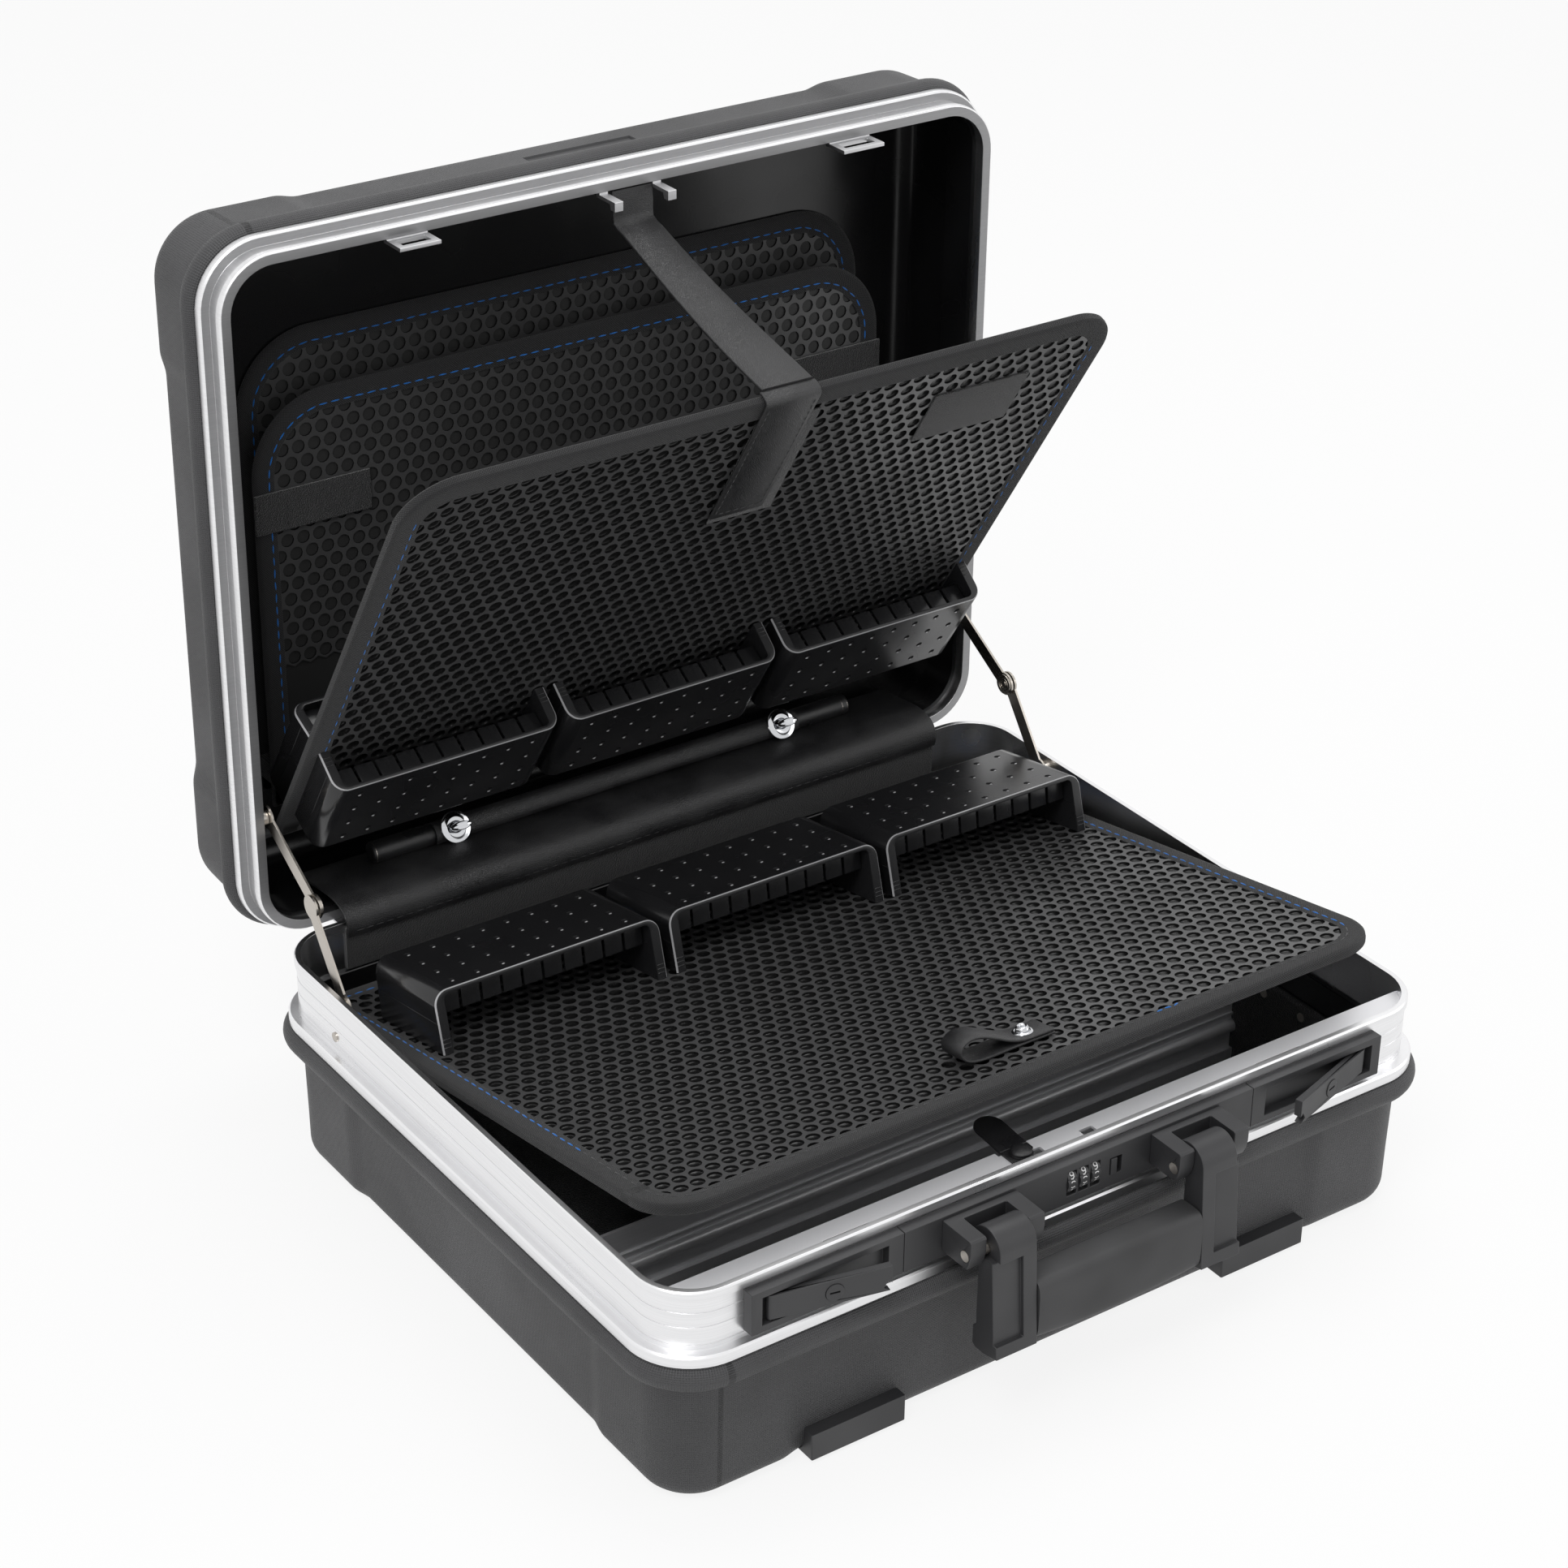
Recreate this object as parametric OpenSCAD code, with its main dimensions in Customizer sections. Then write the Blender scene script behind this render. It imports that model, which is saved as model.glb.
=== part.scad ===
// Hard tool case, lid open: two moulded shells with aluminium rims, folding tool boards,
// a carrying handle, two key latches and a three-dial lock.
// X runs along the front, -Y is the handle side, +Z is up; the origin is the middle of the underside.

/* [Case] */
// Width over the aluminium rims
case_w = 466; // [460:1:520]
// Depth over the aluminium rims
case_d = 376; // [372:1:420]
// Corner radius of the rims
corner_r = 30; // [26:1:36]
// Height of the base from its underside to its rim
base_h = 124; // [122:1:150]
// Depth of the lid above the rim plane
lid_h = 75; // [74:1:100]
// Angle at which the lid stands open
lid_open = 90; // [60:1:92]
// Gap between the closed rims
rim_gap = 0.3; // [0.2:0.1:1]

/* [Shells] */
// Wall of the moulded shells
wall = 3; // [2.5:0.1:4]
// How far the rolled bead stands out past the rim
bead_out = 8; // [6:0.5:9]
// Radius of the rolled bead
bead_r = 7; // [6:0.5:8]
// Length of each thicker corner zone
zone_len = 72; // [50:1:90]
// Step from the middle of a side to its corner zone
zone_step = 2.5; // [1:0.5:4]
// How far the base wall lies inside the rim
base_in = 4.5; // [3.5:0.5:5]
// How far the lid wall lies outside the rim
lid_out = 1; // [0:0.5:2]
// Taper of each wall over its height
draft = 1; // [0.2:0.1:1.4]
// Radius of the base's bottom edge
base_edge_r = 12; // [8:1:14]
// Radius of the lid's top edge
lid_edge_r = 13; // [8:1:16]
// Width of the bare badge recess on the lid
badge_w = 65; // [40:1:80]
// Height of the badge recess
badge_h = 19; // [10:1:24]
// Depth of the badge recess
badge_depth = 1.5; // [0.5:0.1:1.8]

/* [Rims] */
// Height of the base's aluminium band
band_h = 39; // [37:1:42]
// Height of the lid's aluminium band
lid_band_h = 18; // [17:0.5:22]
// Thickness of the bands with their top lip
band_t = 3.5; // [3.5:0.1:4]
// How far the lip stands out past the band
lip_out = 1; // [0.5:0.1:1.5]
// Height of the lip
lip_h = 5; // [3:0.5:6]
// How far the foot flange stands out past the rim
flange_out = 4.5; // [3:0.5:6]
// Height of the foot flange
flange_h = 5; // [3:0.5:6]
// Width of the lid's flat front face
face_w = 6; // [5:0.5:6.5]
// Width of the shelf behind the front rim
shelf_w = 18; // [15:0.5:18]
// How far the shelf lies below the rim
shelf_drop = 6; // [5:0.5:8]
// Thickness of the shelf
shelf_t = 1.5; // [1:0.1:2]

/* [Hinge] */
// Half the length of the hinge
hinge_half = 190; // [120:1:194]
// How far the hinge pin lies behind the rim
hinge_out = 2.5; // [2.3:0.1:3]
// How far the hinge pin lies below the rim
hinge_drop = 10; // [9:0.5:12]
// Radius of the hinge knuckles
knuckle_r = 2.4; // [2.3:0.1:2.6]
// Radius of the hinge pin
hinge_pin_r = 1.2; // [0.8:0.1:1.4]
// Number of hinge knuckles
knuckles = 9; // [5:2:15]
// Running clearance of pins in their bores
pin_clearance = 0.05; // [0.02:0.01:0.08]

/* [Stays] */
// Distance of the lower stay pivot behind the middle of the case
stay_y = 125; // [115:1:132]
// Length of the lower stay link between its pivots
stay_lower_len = 52.7; // [48:0.1:58]
// Angle of the lower stay link above the horizontal
stay_lower_angle = 54; // [48:1:60]
// Angle of the upper stay link above the horizontal
stay_upper_angle = 31; // [28:1:34]
// Length of the upper stay link between its pivots
stay_upper_len = 57.1; // [52:0.1:60]
// Thickness of the stay links
stay_t = 1.3; // [1:0.1:1.5]
// Width of the stay links
stay_w = 8.5; // [6:0.5:11]
// Radius of the stay link eyes
stay_eye_r = 6.7; // [5.5:0.1:7]

/* [Boards] */
// Thickness of the tool boards
board_t = 6; // [5:0.5:7]
// Half the width of the upper board
upper_half = 213; // [208:1:216]
// Length of the upper board from its pivot
upper_len = 298; // [280:1:304]
// Forward lean of the upper board out of the lid
upper_lean = 32; // [15:1:34]
// Distance of the upper board's pivot from the lid's hinge side
upper_s = 53.6; // [50:0.1:58]
// Height of the upper board's pivot above the rim plane
upper_n = 18.5; // [18:0.1:20]
// Half the width of the lower board
lower_half = 222; // [214:1:222]
// Distance of the lower board's pivot behind the middle of the case
lower_y = 130; // [128:1:132]
// How far the lower board's pivot lies below the rim
lower_drop = 25.6; // [25:0.1:28]
// Length of the lower board behind its pivot
lower_back = 39; // [34:1:40]
// Length of the lower board in front of its pivot
lower_front = 300; // [290:1:300]
// Angle at which the front of the lower board is raised
lower_tilt = 10.25; // [9.5:0.25:10.5]
// How far the lower board sinks as the lid closes
lower_travel = 31.5; // [31:0.5:32]
// How far the lower board moves back as it sinks
lower_shift = 8; // [7:0.5:9]
// Corner radius of the tool boards
board_corner_r = 30; // [20:1:40]
// Thickness of the lid's pocket boards
pocket_t = 3; // [2:0.5:3.5]
// Half the width of the front pocket board
pocket_front_half = 197; // [150:1:204]
// Half the width of the rear pocket board
pocket_rear_half = 195; // [150:1:204]
// Top edge of the front pocket board in the lid
pocket_front_top = 279; // [200:1:300]
// Top edge of the rear pocket board in the lid
pocket_rear_top = 306; // [220:1:340]
// Depth of the pocket between the two boards
pocket_gap = 15.5; // [8:0.5:15.5]

/* [Tool holders] */
// Half the width over the three tool holders
holders_half = 206.3; // [190:0.1:209]
// Gap between two tool holders
holder_gap = 6; // [3:0.5:12]
// Depth of a tool holder from its mouth to its back
holder_depth = 66; // [50:1:66]
// Depth of the upper tool holders
upper_holder_depth = 60; // [50:1:62]
// Height of the lower tool holders
holder_h = 33; // [26:1:34]
// Height of the upper tool holders
upper_holder_h = 23; // [18:1:30]
// Height of the holders behind the upper board
rear_holder_h = 27; // [20:1:27]
// How far the cover's edge is set back from the mouth
holder_setback = 3.5; // [3:0.5:9]
// Thickness of a holder's side cheeks
cheek_t = 6; // [4:0.5:8]
// Thickness of a holder's cover and back
cover_t = 2.5; // [2:0.1:3.5]
// Number of fingers in a holder's mouth
fingers = 10; // [4:1:12]
// Mouth of the lower holders, from the board's pivot
lower_mouth = 73.7; // [68:0.1:80]
// Mouth of the upper holders, from the board's pivot
upper_mouth = 76; // [72:1:78]

/* [Locks and handle] */
// Height of the lock plates
lock_h = 23; // [21:0.5:25]
// How far the lock plates lie below the rim
lock_drop = 6.3; // [6:0.1:8]
// Thickness of the lock plates
lock_t = 6.5; // [6:0.1:8]
// Half the length of the middle lock plate
lock_inner = 107; // [104:1:110]
// Outer end of the latch plates
lock_outer = 193; // [188:1:196]
// Length of a latch lever from its pivot
lever_len = 60; // [50:1:62]
// Height of a latch lever
lever_h = 13.5; // [10:0.5:14]
// Thickness of a latch lever
lever_t = 4; // [3.5:0.1:4.2]
// How far the left lever stands open
lever_open_left = 12; // [0:1:40]
// How far the right lever stands open
lever_open_right = 17; // [0:1:40]
// Radius of the key cylinders
key_r = 4.6; // [3.5:0.1:5.5]
// Distance between the number dials
dial_pitch = 7.25; // [7:0.05:7.5]
// Radius of the number dials
dial_r = 7.6; // [7.2:0.1:7.8]
// Width of a number dial
dial_w = 5.3; // [4.5:0.1:5.4]
// Inner side of the handle brackets
bracket_in = 41.3; // [40:0.1:44]
// Outer side of the handle brackets
bracket_out = 85.3; // [84:0.1:90]
// How far the handle brackets stand out from the lock plates
bracket_reach = 22; // [20:1:28]
// Width of the handle arms
arm_w = 24.6; // [20:0.1:25]
// Radius of the handle arms' barrels
barrel_r = 11; // [9:0.5:12]
// Length of the handle from its pivot
handle_len = 57.5; // [50:0.5:62]
// Radius of the handle pins
handle_pin_r = 3; // [2:0.1:4]

/* [Hidden] */
$fn = 64;

black = [0.07, 0.07, 0.075];
charcoal = [0.24, 0.24, 0.25];
metal = [0.8, 0.8, 0.82];
nickel = [0.72, 0.68, 0.62];
fabric = [0.12, 0.12, 0.13];
leather = [0.05, 0.05, 0.055];

half_w = case_w / 2;
half_d = case_d / 2;
rim_z = base_h;
hinge_y = half_d + hinge_out;
hinge_z = rim_z - hinge_drop;
band_y = half_d - lip_out;
band_inner = band_t;
joint_gap = 0.3;
far = 400;

lower_z = rim_z - lower_drop;

// Base levels
bead_top = base_h - band_h;
bead_z = bead_top - bead_r;
bead_foot = bead_z - bead_r;
bead_mid = bead_out - bead_r;
shell_lip_t = 2;
shell_lip_h = 10;
bead_inner = band_inner + shell_lip_t;
foot_wall = wall - 0.5;
base_inner_x = half_w - base_in - wall - 0.5;

// Lid levels, measured up from the closed rim plane
lid_bead_n = lid_band_h + bead_r;
lid_bead_top = lid_band_h + 2 * bead_r;
lid_inner_top = lid_h - wall;

// A filled rectangle with round corners
module rounded(w, d, r) {
    square([w - 2 * r, d], center = true);
    square([w, d - 2 * r], center = true);
    for (x = [-1, 1], y = [-1, 1])
        translate([x * (w / 2 - r), y * (d / 2 - r)])
            circle(r = r);
}

// Carries a profile round the rim's outline; its x is the distance from the corner's centre
module around_rim() {
    side_x = half_w - corner_r;
    side_y = half_d - corner_r;
    for (m = [0, 1])
        mirror([m, 0, 0]) {
            translate([side_x, side_y, 0])
                rotate([90, 0, 0])
                    linear_extrude(2 * side_y)
                        children();
            for (n = [0, 1])
                mirror([0, n, 0])
                    translate([side_x, side_y, 0])
                        rotate_extrude(angle = 90)
                            children();
        }
    for (n = [0, 1])
        mirror([0, n, 0])
            translate([-side_x, side_y, 0])
                rotate([90, 0, 90])
                    linear_extrude(2 * side_x)
                        children();
}

// Carries a profile round the four corners only, out to the ends of the corner zones
module around_corners() {
    run = zone_len - corner_r;
    for (m = [0, 1], n = [0, 1])
        mirror([m, 0, 0])
            mirror([0, n, 0])
                translate([half_w - corner_r, half_d - corner_r, 0]) {
                    rotate_extrude(angle = 90)
                        children();
                    rotate([90, 0, 0])
                        linear_extrude(run)
                            children();
                    translate([-run, 0, 0])
                        rotate([90, 0, 90])
                            linear_extrude(run)
                                children();
                }
}

// Profile points are given as distance out from the rim's outline, and height
function rim_point(out, z) = [corner_r + out, z];

// Half profile of a tray: a floor and a tapered wall with a round edge between them
module tray_profile(top_out, height, edge_r, inner_out) {
    foot_out = top_out - draft;
    turn = 15;
    in_r = edge_r + inner_out - foot_out;
    polygon(concat(
        [[0, 0]],
        [for (a = [-90:turn:0])
            rim_point(foot_out - edge_r + edge_r * cos(a), edge_r + edge_r * sin(a))],
        [rim_point(top_out, height), rim_point(inner_out, height)],
        [for (a = [0:-turn:-90])
            rim_point(foot_out - edge_r + in_r * cos(a), edge_r + (edge_r - wall) * sin(a))],
        [[0, wall]]));
}

// A whole tray: tapered walls with thicker corner zones, and a flat floor
module tray(top_out, height, edge_r, inner_out) {
    around_rim()
        tray_profile(top_out, height, edge_r, inner_out);
    around_corners()
        tray_profile(top_out + zone_step, height, edge_r, inner_out);
    translate([-half_w + corner_r, -half_d + corner_r, 0])
        cube([case_w - 2 * corner_r, case_d - 2 * corner_r, wall]);
}

// The rolled bead with the lip that stands up inside the aluminium band
module bead_profile(middle_z, lip) {
    translate(rim_point(bead_mid, middle_z))
        circle(r = bead_r);
    translate(rim_point(-bead_inner, middle_z - bead_r))
        square([bead_inner + bead_mid, 2 * bead_r]);
    translate(rim_point(-bead_inner, lip > 0 ? middle_z + bead_r : middle_z - bead_r + lip))
        square([shell_lip_t, abs(lip)]);
}

// Places what is drawn in the closed lid's position where the open lid holds it
module on_lid() {
    translate([0, hinge_y, hinge_z])
        rotate([-lid_open, 0, 0])
            translate([0, -hinge_y, -hinge_z])
                children();
}

// Closed-lid height of a level above the rim plane, and closed-lid y of a distance from the hinge side
function lid_z(n) = rim_z + n;
function lid_y(s) = half_d - s;

// Places what is drawn along +Y from the pivot, with its front on +Z, on the leaning upper board
module on_upper() {
    on_lid()
        translate([0, lid_y(upper_s), lid_z(upper_n)])
            rotate([upper_lean + 180, 0, 0])
                children();
}

// Draws its children on both sides
module both_sides() {
    for (m = [0, 1])
        mirror([m, 0, 0])
            children();
}

// A cylinder along X between two places
module rod_x(x0, x1, r) {
    translate([x0, 0, 0])
        rotate([0, 90, 0])
            cylinder(r = r, h = x1 - x0);
}

// A cylinder along +Y between two places
module rod_y(y0, y1, r) {
    translate([0, y1, 0])
        rotate([90, 0, 0])
            cylinder(r = r, h = y1 - y0);
}

// Base shell: moulded tray, rolled bead and the lip inside the band
module base_shell() {
    color(charcoal) {
        tray(-base_in, bead_foot + 1, base_edge_r, base_inner_x - half_w);
        around_rim()
            bead_profile(bead_z, shell_lip_h);
    }
}

// Base rim: aluminium band with three fine grooves, a foot flange and a top lip
groove_levels = [30, 20, 12];
groove_w = 0.6;
groove_depth = 0.4;
edge_break = 0.8;
module base_band_profile() {
    polygon(concat(
        [rim_point(-band_inner, bead_top), rim_point(flange_out, bead_top),
         rim_point(flange_out, bead_top + flange_h), rim_point(flange_out - 1, bead_top + flange_h + 1),
         rim_point(-lip_out, bead_top + flange_h + 1)],
        [for (level = groove_levels, k = [0:3])
            rim_point(-lip_out - (k == 1 || k == 2 ? groove_depth : 0),
                      rim_z - level + (k < 2 ? -1 : 1) * groove_w / 2)],
        [rim_point(-lip_out, rim_z - lip_h), rim_point(0, rim_z - lip_h),
         rim_point(0, rim_z - edge_break), rim_point(-edge_break, rim_z),
         rim_point(-band_inner, rim_z)]));
}

dial_z = rim_z - lock_drop - lock_h / 2;
dial_cut_half = dial_pitch + dial_w / 2 + 0.7;
dial_cut_h = 2 * dial_r + 2.8;
module base_frame() {
    color(metal)
        difference() {
            around_rim()
                base_band_profile();
            translate([-hinge_half - 1, band_y, rim_z - lip_h - 1])
                cube([2 * hinge_half + 2, far, lip_h + 2]);
            translate([-dial_cut_half, -half_d - 1, dial_z - dial_cut_h / 2])
                cube([2 * dial_cut_half, band_inner + 2, dial_cut_h]);
        }
}

// Rivet heads on the sides of the band, which hold the stay pivots
rivet_drop = 25;
rivet_r = 2.6;
rivet_head = 0.7;
module frame_rivets() {
    color(nickel)
        both_sides()
            translate([0, stay_y, rim_z - rivet_drop])
                rod_x(half_w - lip_out, half_w - lip_out + rivet_head, rivet_r);
}

// Rivet heads on the inside of the base's side walls
wall_rivet_places = [[-74.5, 69.5], [-104, 69.5]];
module wall_rivets() {
    color(nickel)
        both_sides()
            for (p = wall_rivet_places)
                translate([0, p[0], p[1]])
                    rod_x(base_inner_x - rivet_head, base_inner_x, rivet_r);
}

// Solid body of the base tray, which cuts what is seated on its outside
module base_outside() {
    around_rim()
        polygon([[0, 0], rim_point(-base_in - draft - base_edge_r, 0),
                 for (a = [-90:15:0]) rim_point(-base_in - draft - base_edge_r + base_edge_r * cos(a),
                                                base_edge_r + base_edge_r * sin(a)),
                 rim_point(-base_in, bead_foot + 1), [0, bead_foot + 1]]);
}

// Feet on the lower front edge of the base
foot_x0 = 100;
foot_x1 = 155;
foot_z0 = 2.5;
foot_h = 15;
foot_out = 1.5;
module front_feet() {
    color(black)
        difference() {
            both_sides()
                translate([foot_x0, -half_d - foot_out, foot_z0])
                    cube([foot_x1 - foot_x0, base_in + foot_out + base_edge_r, foot_h]);
            base_outside();
        }
}

// Where the lid's catches and claws pass the shelf behind the front rim
catch_x = [[-141, -118], [124, 150]];
claw_x = 16;
claw_w = 5;
claw_depth = 6;
catch_s = case_d - face_w - 1.5;
catch_t = 2;
slot_gap = 1.5;
shelf_z = rim_z - shelf_drop;
shelf_front = half_d - band_inner;
tab_w = 16;
tab_x = -24;
tab_reach = 26;
tab_notch = 1.2;
module claw_slots() {
    both_sides()
        translate([claw_x - claw_w / 2 - slot_gap, lid_y(case_d - face_w) - slot_gap / 2,
                   shelf_z - 2 * shelf_t])
            cube([claw_w + 2 * slot_gap, claw_depth + 2 * slot_gap, 6 * shelf_t]);
}
module front_shelf() {
    color(metal)
        difference() {
            translate([0, 0, shelf_z - shelf_t])
                linear_extrude(shelf_t)
                    intersection() {
                        rounded(case_w - 2 * band_inner, case_d - 2 * band_inner, corner_r - band_inner);
                        translate([-half_w, -half_d])
                            square([case_w, band_inner + shelf_w]);
                    }
            translate([tab_x - tab_w / 2 - slot_gap, tab_fold_y - tab_notch, shelf_z - 2 * shelf_t])
                cube([tab_w + 2 * slot_gap, far, 4 * shelf_t]);
            for (c = catch_x)
                translate([c[0] - slot_gap, lid_y(catch_s) - catch_t - slot_gap, shelf_z - 2 * shelf_t])
                    cube([c[1] - c[0] + 2 * slot_gap, catch_t + 3 * slot_gap, 4 * shelf_t]);
            claw_slots();
        }
}

// Middle lock plate with windows for the dials and a notch for the release slide
lock_top = rim_z - lock_drop;
lock_foot = lock_top - lock_h;
lock_face_y = -band_y - lock_t;
window_h = 13.6;
window_bar = 2.5;
slide_x = 18.5;
slide_w = 3.7;
slide_h = 9;
slide_travel = 3;
slide_depth = 4.6;
module lock_plate(x0, x1) {
    translate([x0, lock_face_y, lock_foot])
        cube([x1 - x0, lock_t, lock_h]);
}
module lock_strip() {
    color(black)
        difference() {
            lock_plate(-lock_inner, lock_inner);
            for (i = [-1:1])
                translate([i * dial_pitch - dial_w / 2 - 0.25, lock_face_y - 1, dial_z - window_h / 2])
                    cube([dial_w + 0.5, lock_t + 2, window_h]);
            translate([-dial_cut_half, lock_face_y + window_bar, dial_z - dial_cut_h / 2])
                cube([2 * dial_cut_half, lock_t, dial_cut_h]);
            translate([slide_x - slide_w / 2 - joint_gap, lock_face_y - 1,
                       dial_z - slide_h / 2 - joint_gap])
                cube([slide_w + slide_travel + 2 * joint_gap, slide_depth + 1 + joint_gap,
                      slide_h + 2 * joint_gap]);
        }
}

// Latch plate for the right side: a recess for the lever and a pin to turn it on
lever_pivot_x = 181;
lever_pin_r = 1.1;
lever_knuckle_r = 2.2;
lever_pivot_y = lock_face_y + lever_knuckle_r + 0.2;
recess_depth = lever_t + 0.7;
recess_x0 = lever_pivot_x - lever_len - 5;
recess_x1 = lever_pivot_x + 6;
recess_h = lever_h + 2;
module latch_plate() {
    color(black) {
        difference() {
            lock_plate(lock_inner + joint_gap, lock_outer);
            translate([recess_x0, lock_face_y - 1, dial_z - recess_h / 2])
                cube([recess_x1 - recess_x0, recess_depth + 1, recess_h]);
        }
        translate([lever_pivot_x, lever_pivot_y, dial_z - recess_h / 2])
            cylinder(r = lever_pin_r, h = recess_h);
    }
}
module lock_housing_right() {
    latch_plate();
}
module lock_housing_left() {
    mirror([1, 0, 0])
        latch_plate();
}

// Lock boxes behind the front band, open at the top for the lid's catches
lock_back_x0 = 107;
lock_back_x1 = 155;
lock_back_y = 17;
lock_back_wall = 2;
lock_back_foot = bead_top + shell_lip_h;
module lock_backs() {
    color(black)
        both_sides()
            difference() {
                translate([lock_back_x0, -shelf_front, lock_back_foot])
                    cube([lock_back_x1 - lock_back_x0, lock_back_y, shelf_z - shelf_t - lock_back_foot]);
                translate([lock_back_x0 + lock_back_wall, -shelf_front + lock_back_wall / 2,
                           lock_back_foot + lock_back_wall])
                    cube([lock_back_x1 - lock_back_x0 - 2 * lock_back_wall,
                          lock_back_y - lock_back_wall * 1.5, far]);
            }
}

// Housing behind the dials, and the axle they turn on
dial_axle_r = 1.5;
dial_y = lock_face_y + dial_r - 1.3;
case_wall = 1.4;
case_depth = dial_y + dial_r + 0.4 + shelf_front;
module combination_case() {
    color(black)
        difference() {
            translate([-dial_cut_half - case_wall, -shelf_front, dial_z - dial_cut_h / 2 - case_wall])
                cube([2 * (dial_cut_half + case_wall), case_depth + case_wall,
                      dial_cut_h + case_wall + 0.2]);
            translate([-dial_cut_half, -shelf_front - 1, dial_z - dial_cut_h / 2])
                cube([2 * dial_cut_half, case_depth + 1, dial_cut_h]);
        }
}
module dial_axle() {
    color(nickel)
        translate([0, dial_y, dial_z])
            rod_x(-dial_cut_half, dial_cut_half, dial_axle_r);
}

// Forks that carry the handle, each with two cheeks and a back plate
cheek_w = (bracket_out - bracket_in - arm_w) / 2 - joint_gap;
bracket_top = rim_z - 8;
bracket_foot = bracket_top - 17;
bracket_back = 4;
handle_y = lock_face_y - bracket_reach + 4.5;
handle_z = bracket_top - 10;
module handle_brackets() {
    color(black)
        both_sides()
            difference() {
                translate([bracket_in, lock_face_y, bracket_foot])
                    rotate([90, 0, 90])
                        linear_extrude(bracket_out - bracket_in)
                            polygon([[0, 0], [-bracket_reach + 3, 0], [-bracket_reach + 1, 4],
                                     [-bracket_reach, 9],
                                     [-bracket_reach, bracket_top - bracket_foot - 1],
                                     [-bracket_reach + 1, bracket_top - bracket_foot],
                                     [0, bracket_top - bracket_foot]]);
                translate([bracket_in + cheek_w, lock_face_y - bracket_reach - 1, bracket_foot - 1])
                    cube([bracket_out - bracket_in - 2 * cheek_w, bracket_reach + 1 - bracket_back,
                          bracket_top - bracket_foot + 2]);
                translate([0, handle_y, handle_z])
                    rod_x(bracket_in - 1, bracket_out + 1, handle_pin_r + pin_clearance);
            }
}
module handle_pins() {
    color(nickel)
        both_sides()
            translate([0, handle_y, handle_z])
                rod_x(bracket_in, bracket_out, handle_pin_r);
}

// Hinge: two leaves with knuckles in turn, and one long pin
segment = 2 * hinge_half / knuckles;
knuckle_gap = 0.4;
leaf_t = 1.2;
leaf_reach = 18;
module knuckle(i) {
    translate([-hinge_half + i * segment + knuckle_gap / 2, hinge_y, hinge_z])
        rotate([0, 90, 0])
            cylinder(r = knuckle_r, h = segment - knuckle_gap);
}
module knuckle_web(i, y, z0, z1) {
    translate([-hinge_half + i * segment + knuckle_gap / 2, y, z0])
        cube([segment - knuckle_gap, hinge_y - y, z1 - z0]);
}
module pin_bore() {
    translate([0, hinge_y, hinge_z])
        rod_x(-hinge_half - 1, hinge_half + 1, hinge_pin_r + pin_clearance);
}
module hinge_leaf_base() {
    color(metal)
        difference() {
            union() {
                translate([-hinge_half, band_y, hinge_z - leaf_reach])
                    cube([2 * hinge_half, leaf_t, leaf_reach - knuckle_r - 0.6]);
                for (i = [0:2:knuckles - 1]) {
                    knuckle(i);
                    knuckle_web(i, band_y, hinge_z - knuckle_r - 0.6, hinge_z);
                }
            }
            pin_bore();
        }
}
module hinge_leaf_lid() {
    color(metal)
        on_lid()
            difference() {
                union() {
                    translate([-hinge_half, half_d, hinge_z + knuckle_r + 0.6])
                        cube([2 * hinge_half, leaf_t,
                              lid_z(lid_band_h - flange_h - 0.5) - hinge_z - knuckle_r - 0.6]);
                    for (i = [1:2:knuckles - 1]) {
                        knuckle(i);
                        knuckle_web(i, half_d, hinge_z, hinge_z + knuckle_r + 0.7);
                    }
                }
                pin_bore();
            }
}
module hinge_pin() {
    color(nickel)
        translate([0, hinge_y, hinge_z])
            rod_x(-hinge_half, hinge_half, hinge_pin_r);
}

// Planes of the stay links beside the boards
stay_outer_x = half_w - band_inner - 3.1;
stay_lower_x = stay_outer_x - stay_t;
stay_head_x = stay_lower_x - 0.9;
stay_upper_x = stay_head_x - 0.2 - stay_t;
stay_z = rim_z - 8;
stay_pin_r = 2;
stay_boss_r = 4;
elbow_y = stay_y + stay_lower_len * cos(stay_lower_angle);
elbow_z = stay_z + stay_lower_len * sin(stay_lower_angle);
stay_lid_y = elbow_y + stay_upper_len * cos(stay_upper_angle);
stay_lid_z = elbow_z + stay_upper_len * sin(stay_upper_angle);

// A flat link with round eyes from one pivot to another, seen along X
module stay_link(x0, y0, z0, y1, z1, bore_r) {
    length = norm([y1 - y0, z1 - z0]);
    translate([x0, y0, z0])
        rotate([atan2(z1 - z0, y1 - y0), 0, 0])
            difference() {
                union() {
                    rod_x(0, stay_t, stay_eye_r);
                    translate([0, length, 0])
                        rod_x(0, stay_t, stay_eye_r);
                    translate([0, 0, -stay_w / 2])
                        cube([stay_t, length, stay_w]);
                }
                rod_x(-1, stay_t + 1, bore_r);
            }
}
module stay_pivots_base() {
    color(nickel)
        both_sides()
            translate([0, stay_y, stay_z]) {
                rod_x(stay_outer_x + joint_gap, half_w - band_inner, stay_boss_r);
                rod_x(stay_head_x + 0.2, stay_outer_x + joint_gap, stay_pin_r);
                rod_x(stay_head_x + 0.1, stay_lower_x - 0.15, stay_boss_r);
            }
}
module stay_lower_links() {
    color(nickel)
        both_sides() {
            stay_link(stay_lower_x, stay_y, stay_z, elbow_y, elbow_z, stay_pin_r + pin_clearance);
            translate([0, elbow_y, elbow_z])
                rod_x(stay_head_x + 0.2, stay_lower_x, stay_pin_r);
        }
}
stay_disc_t = 0.9;
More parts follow.
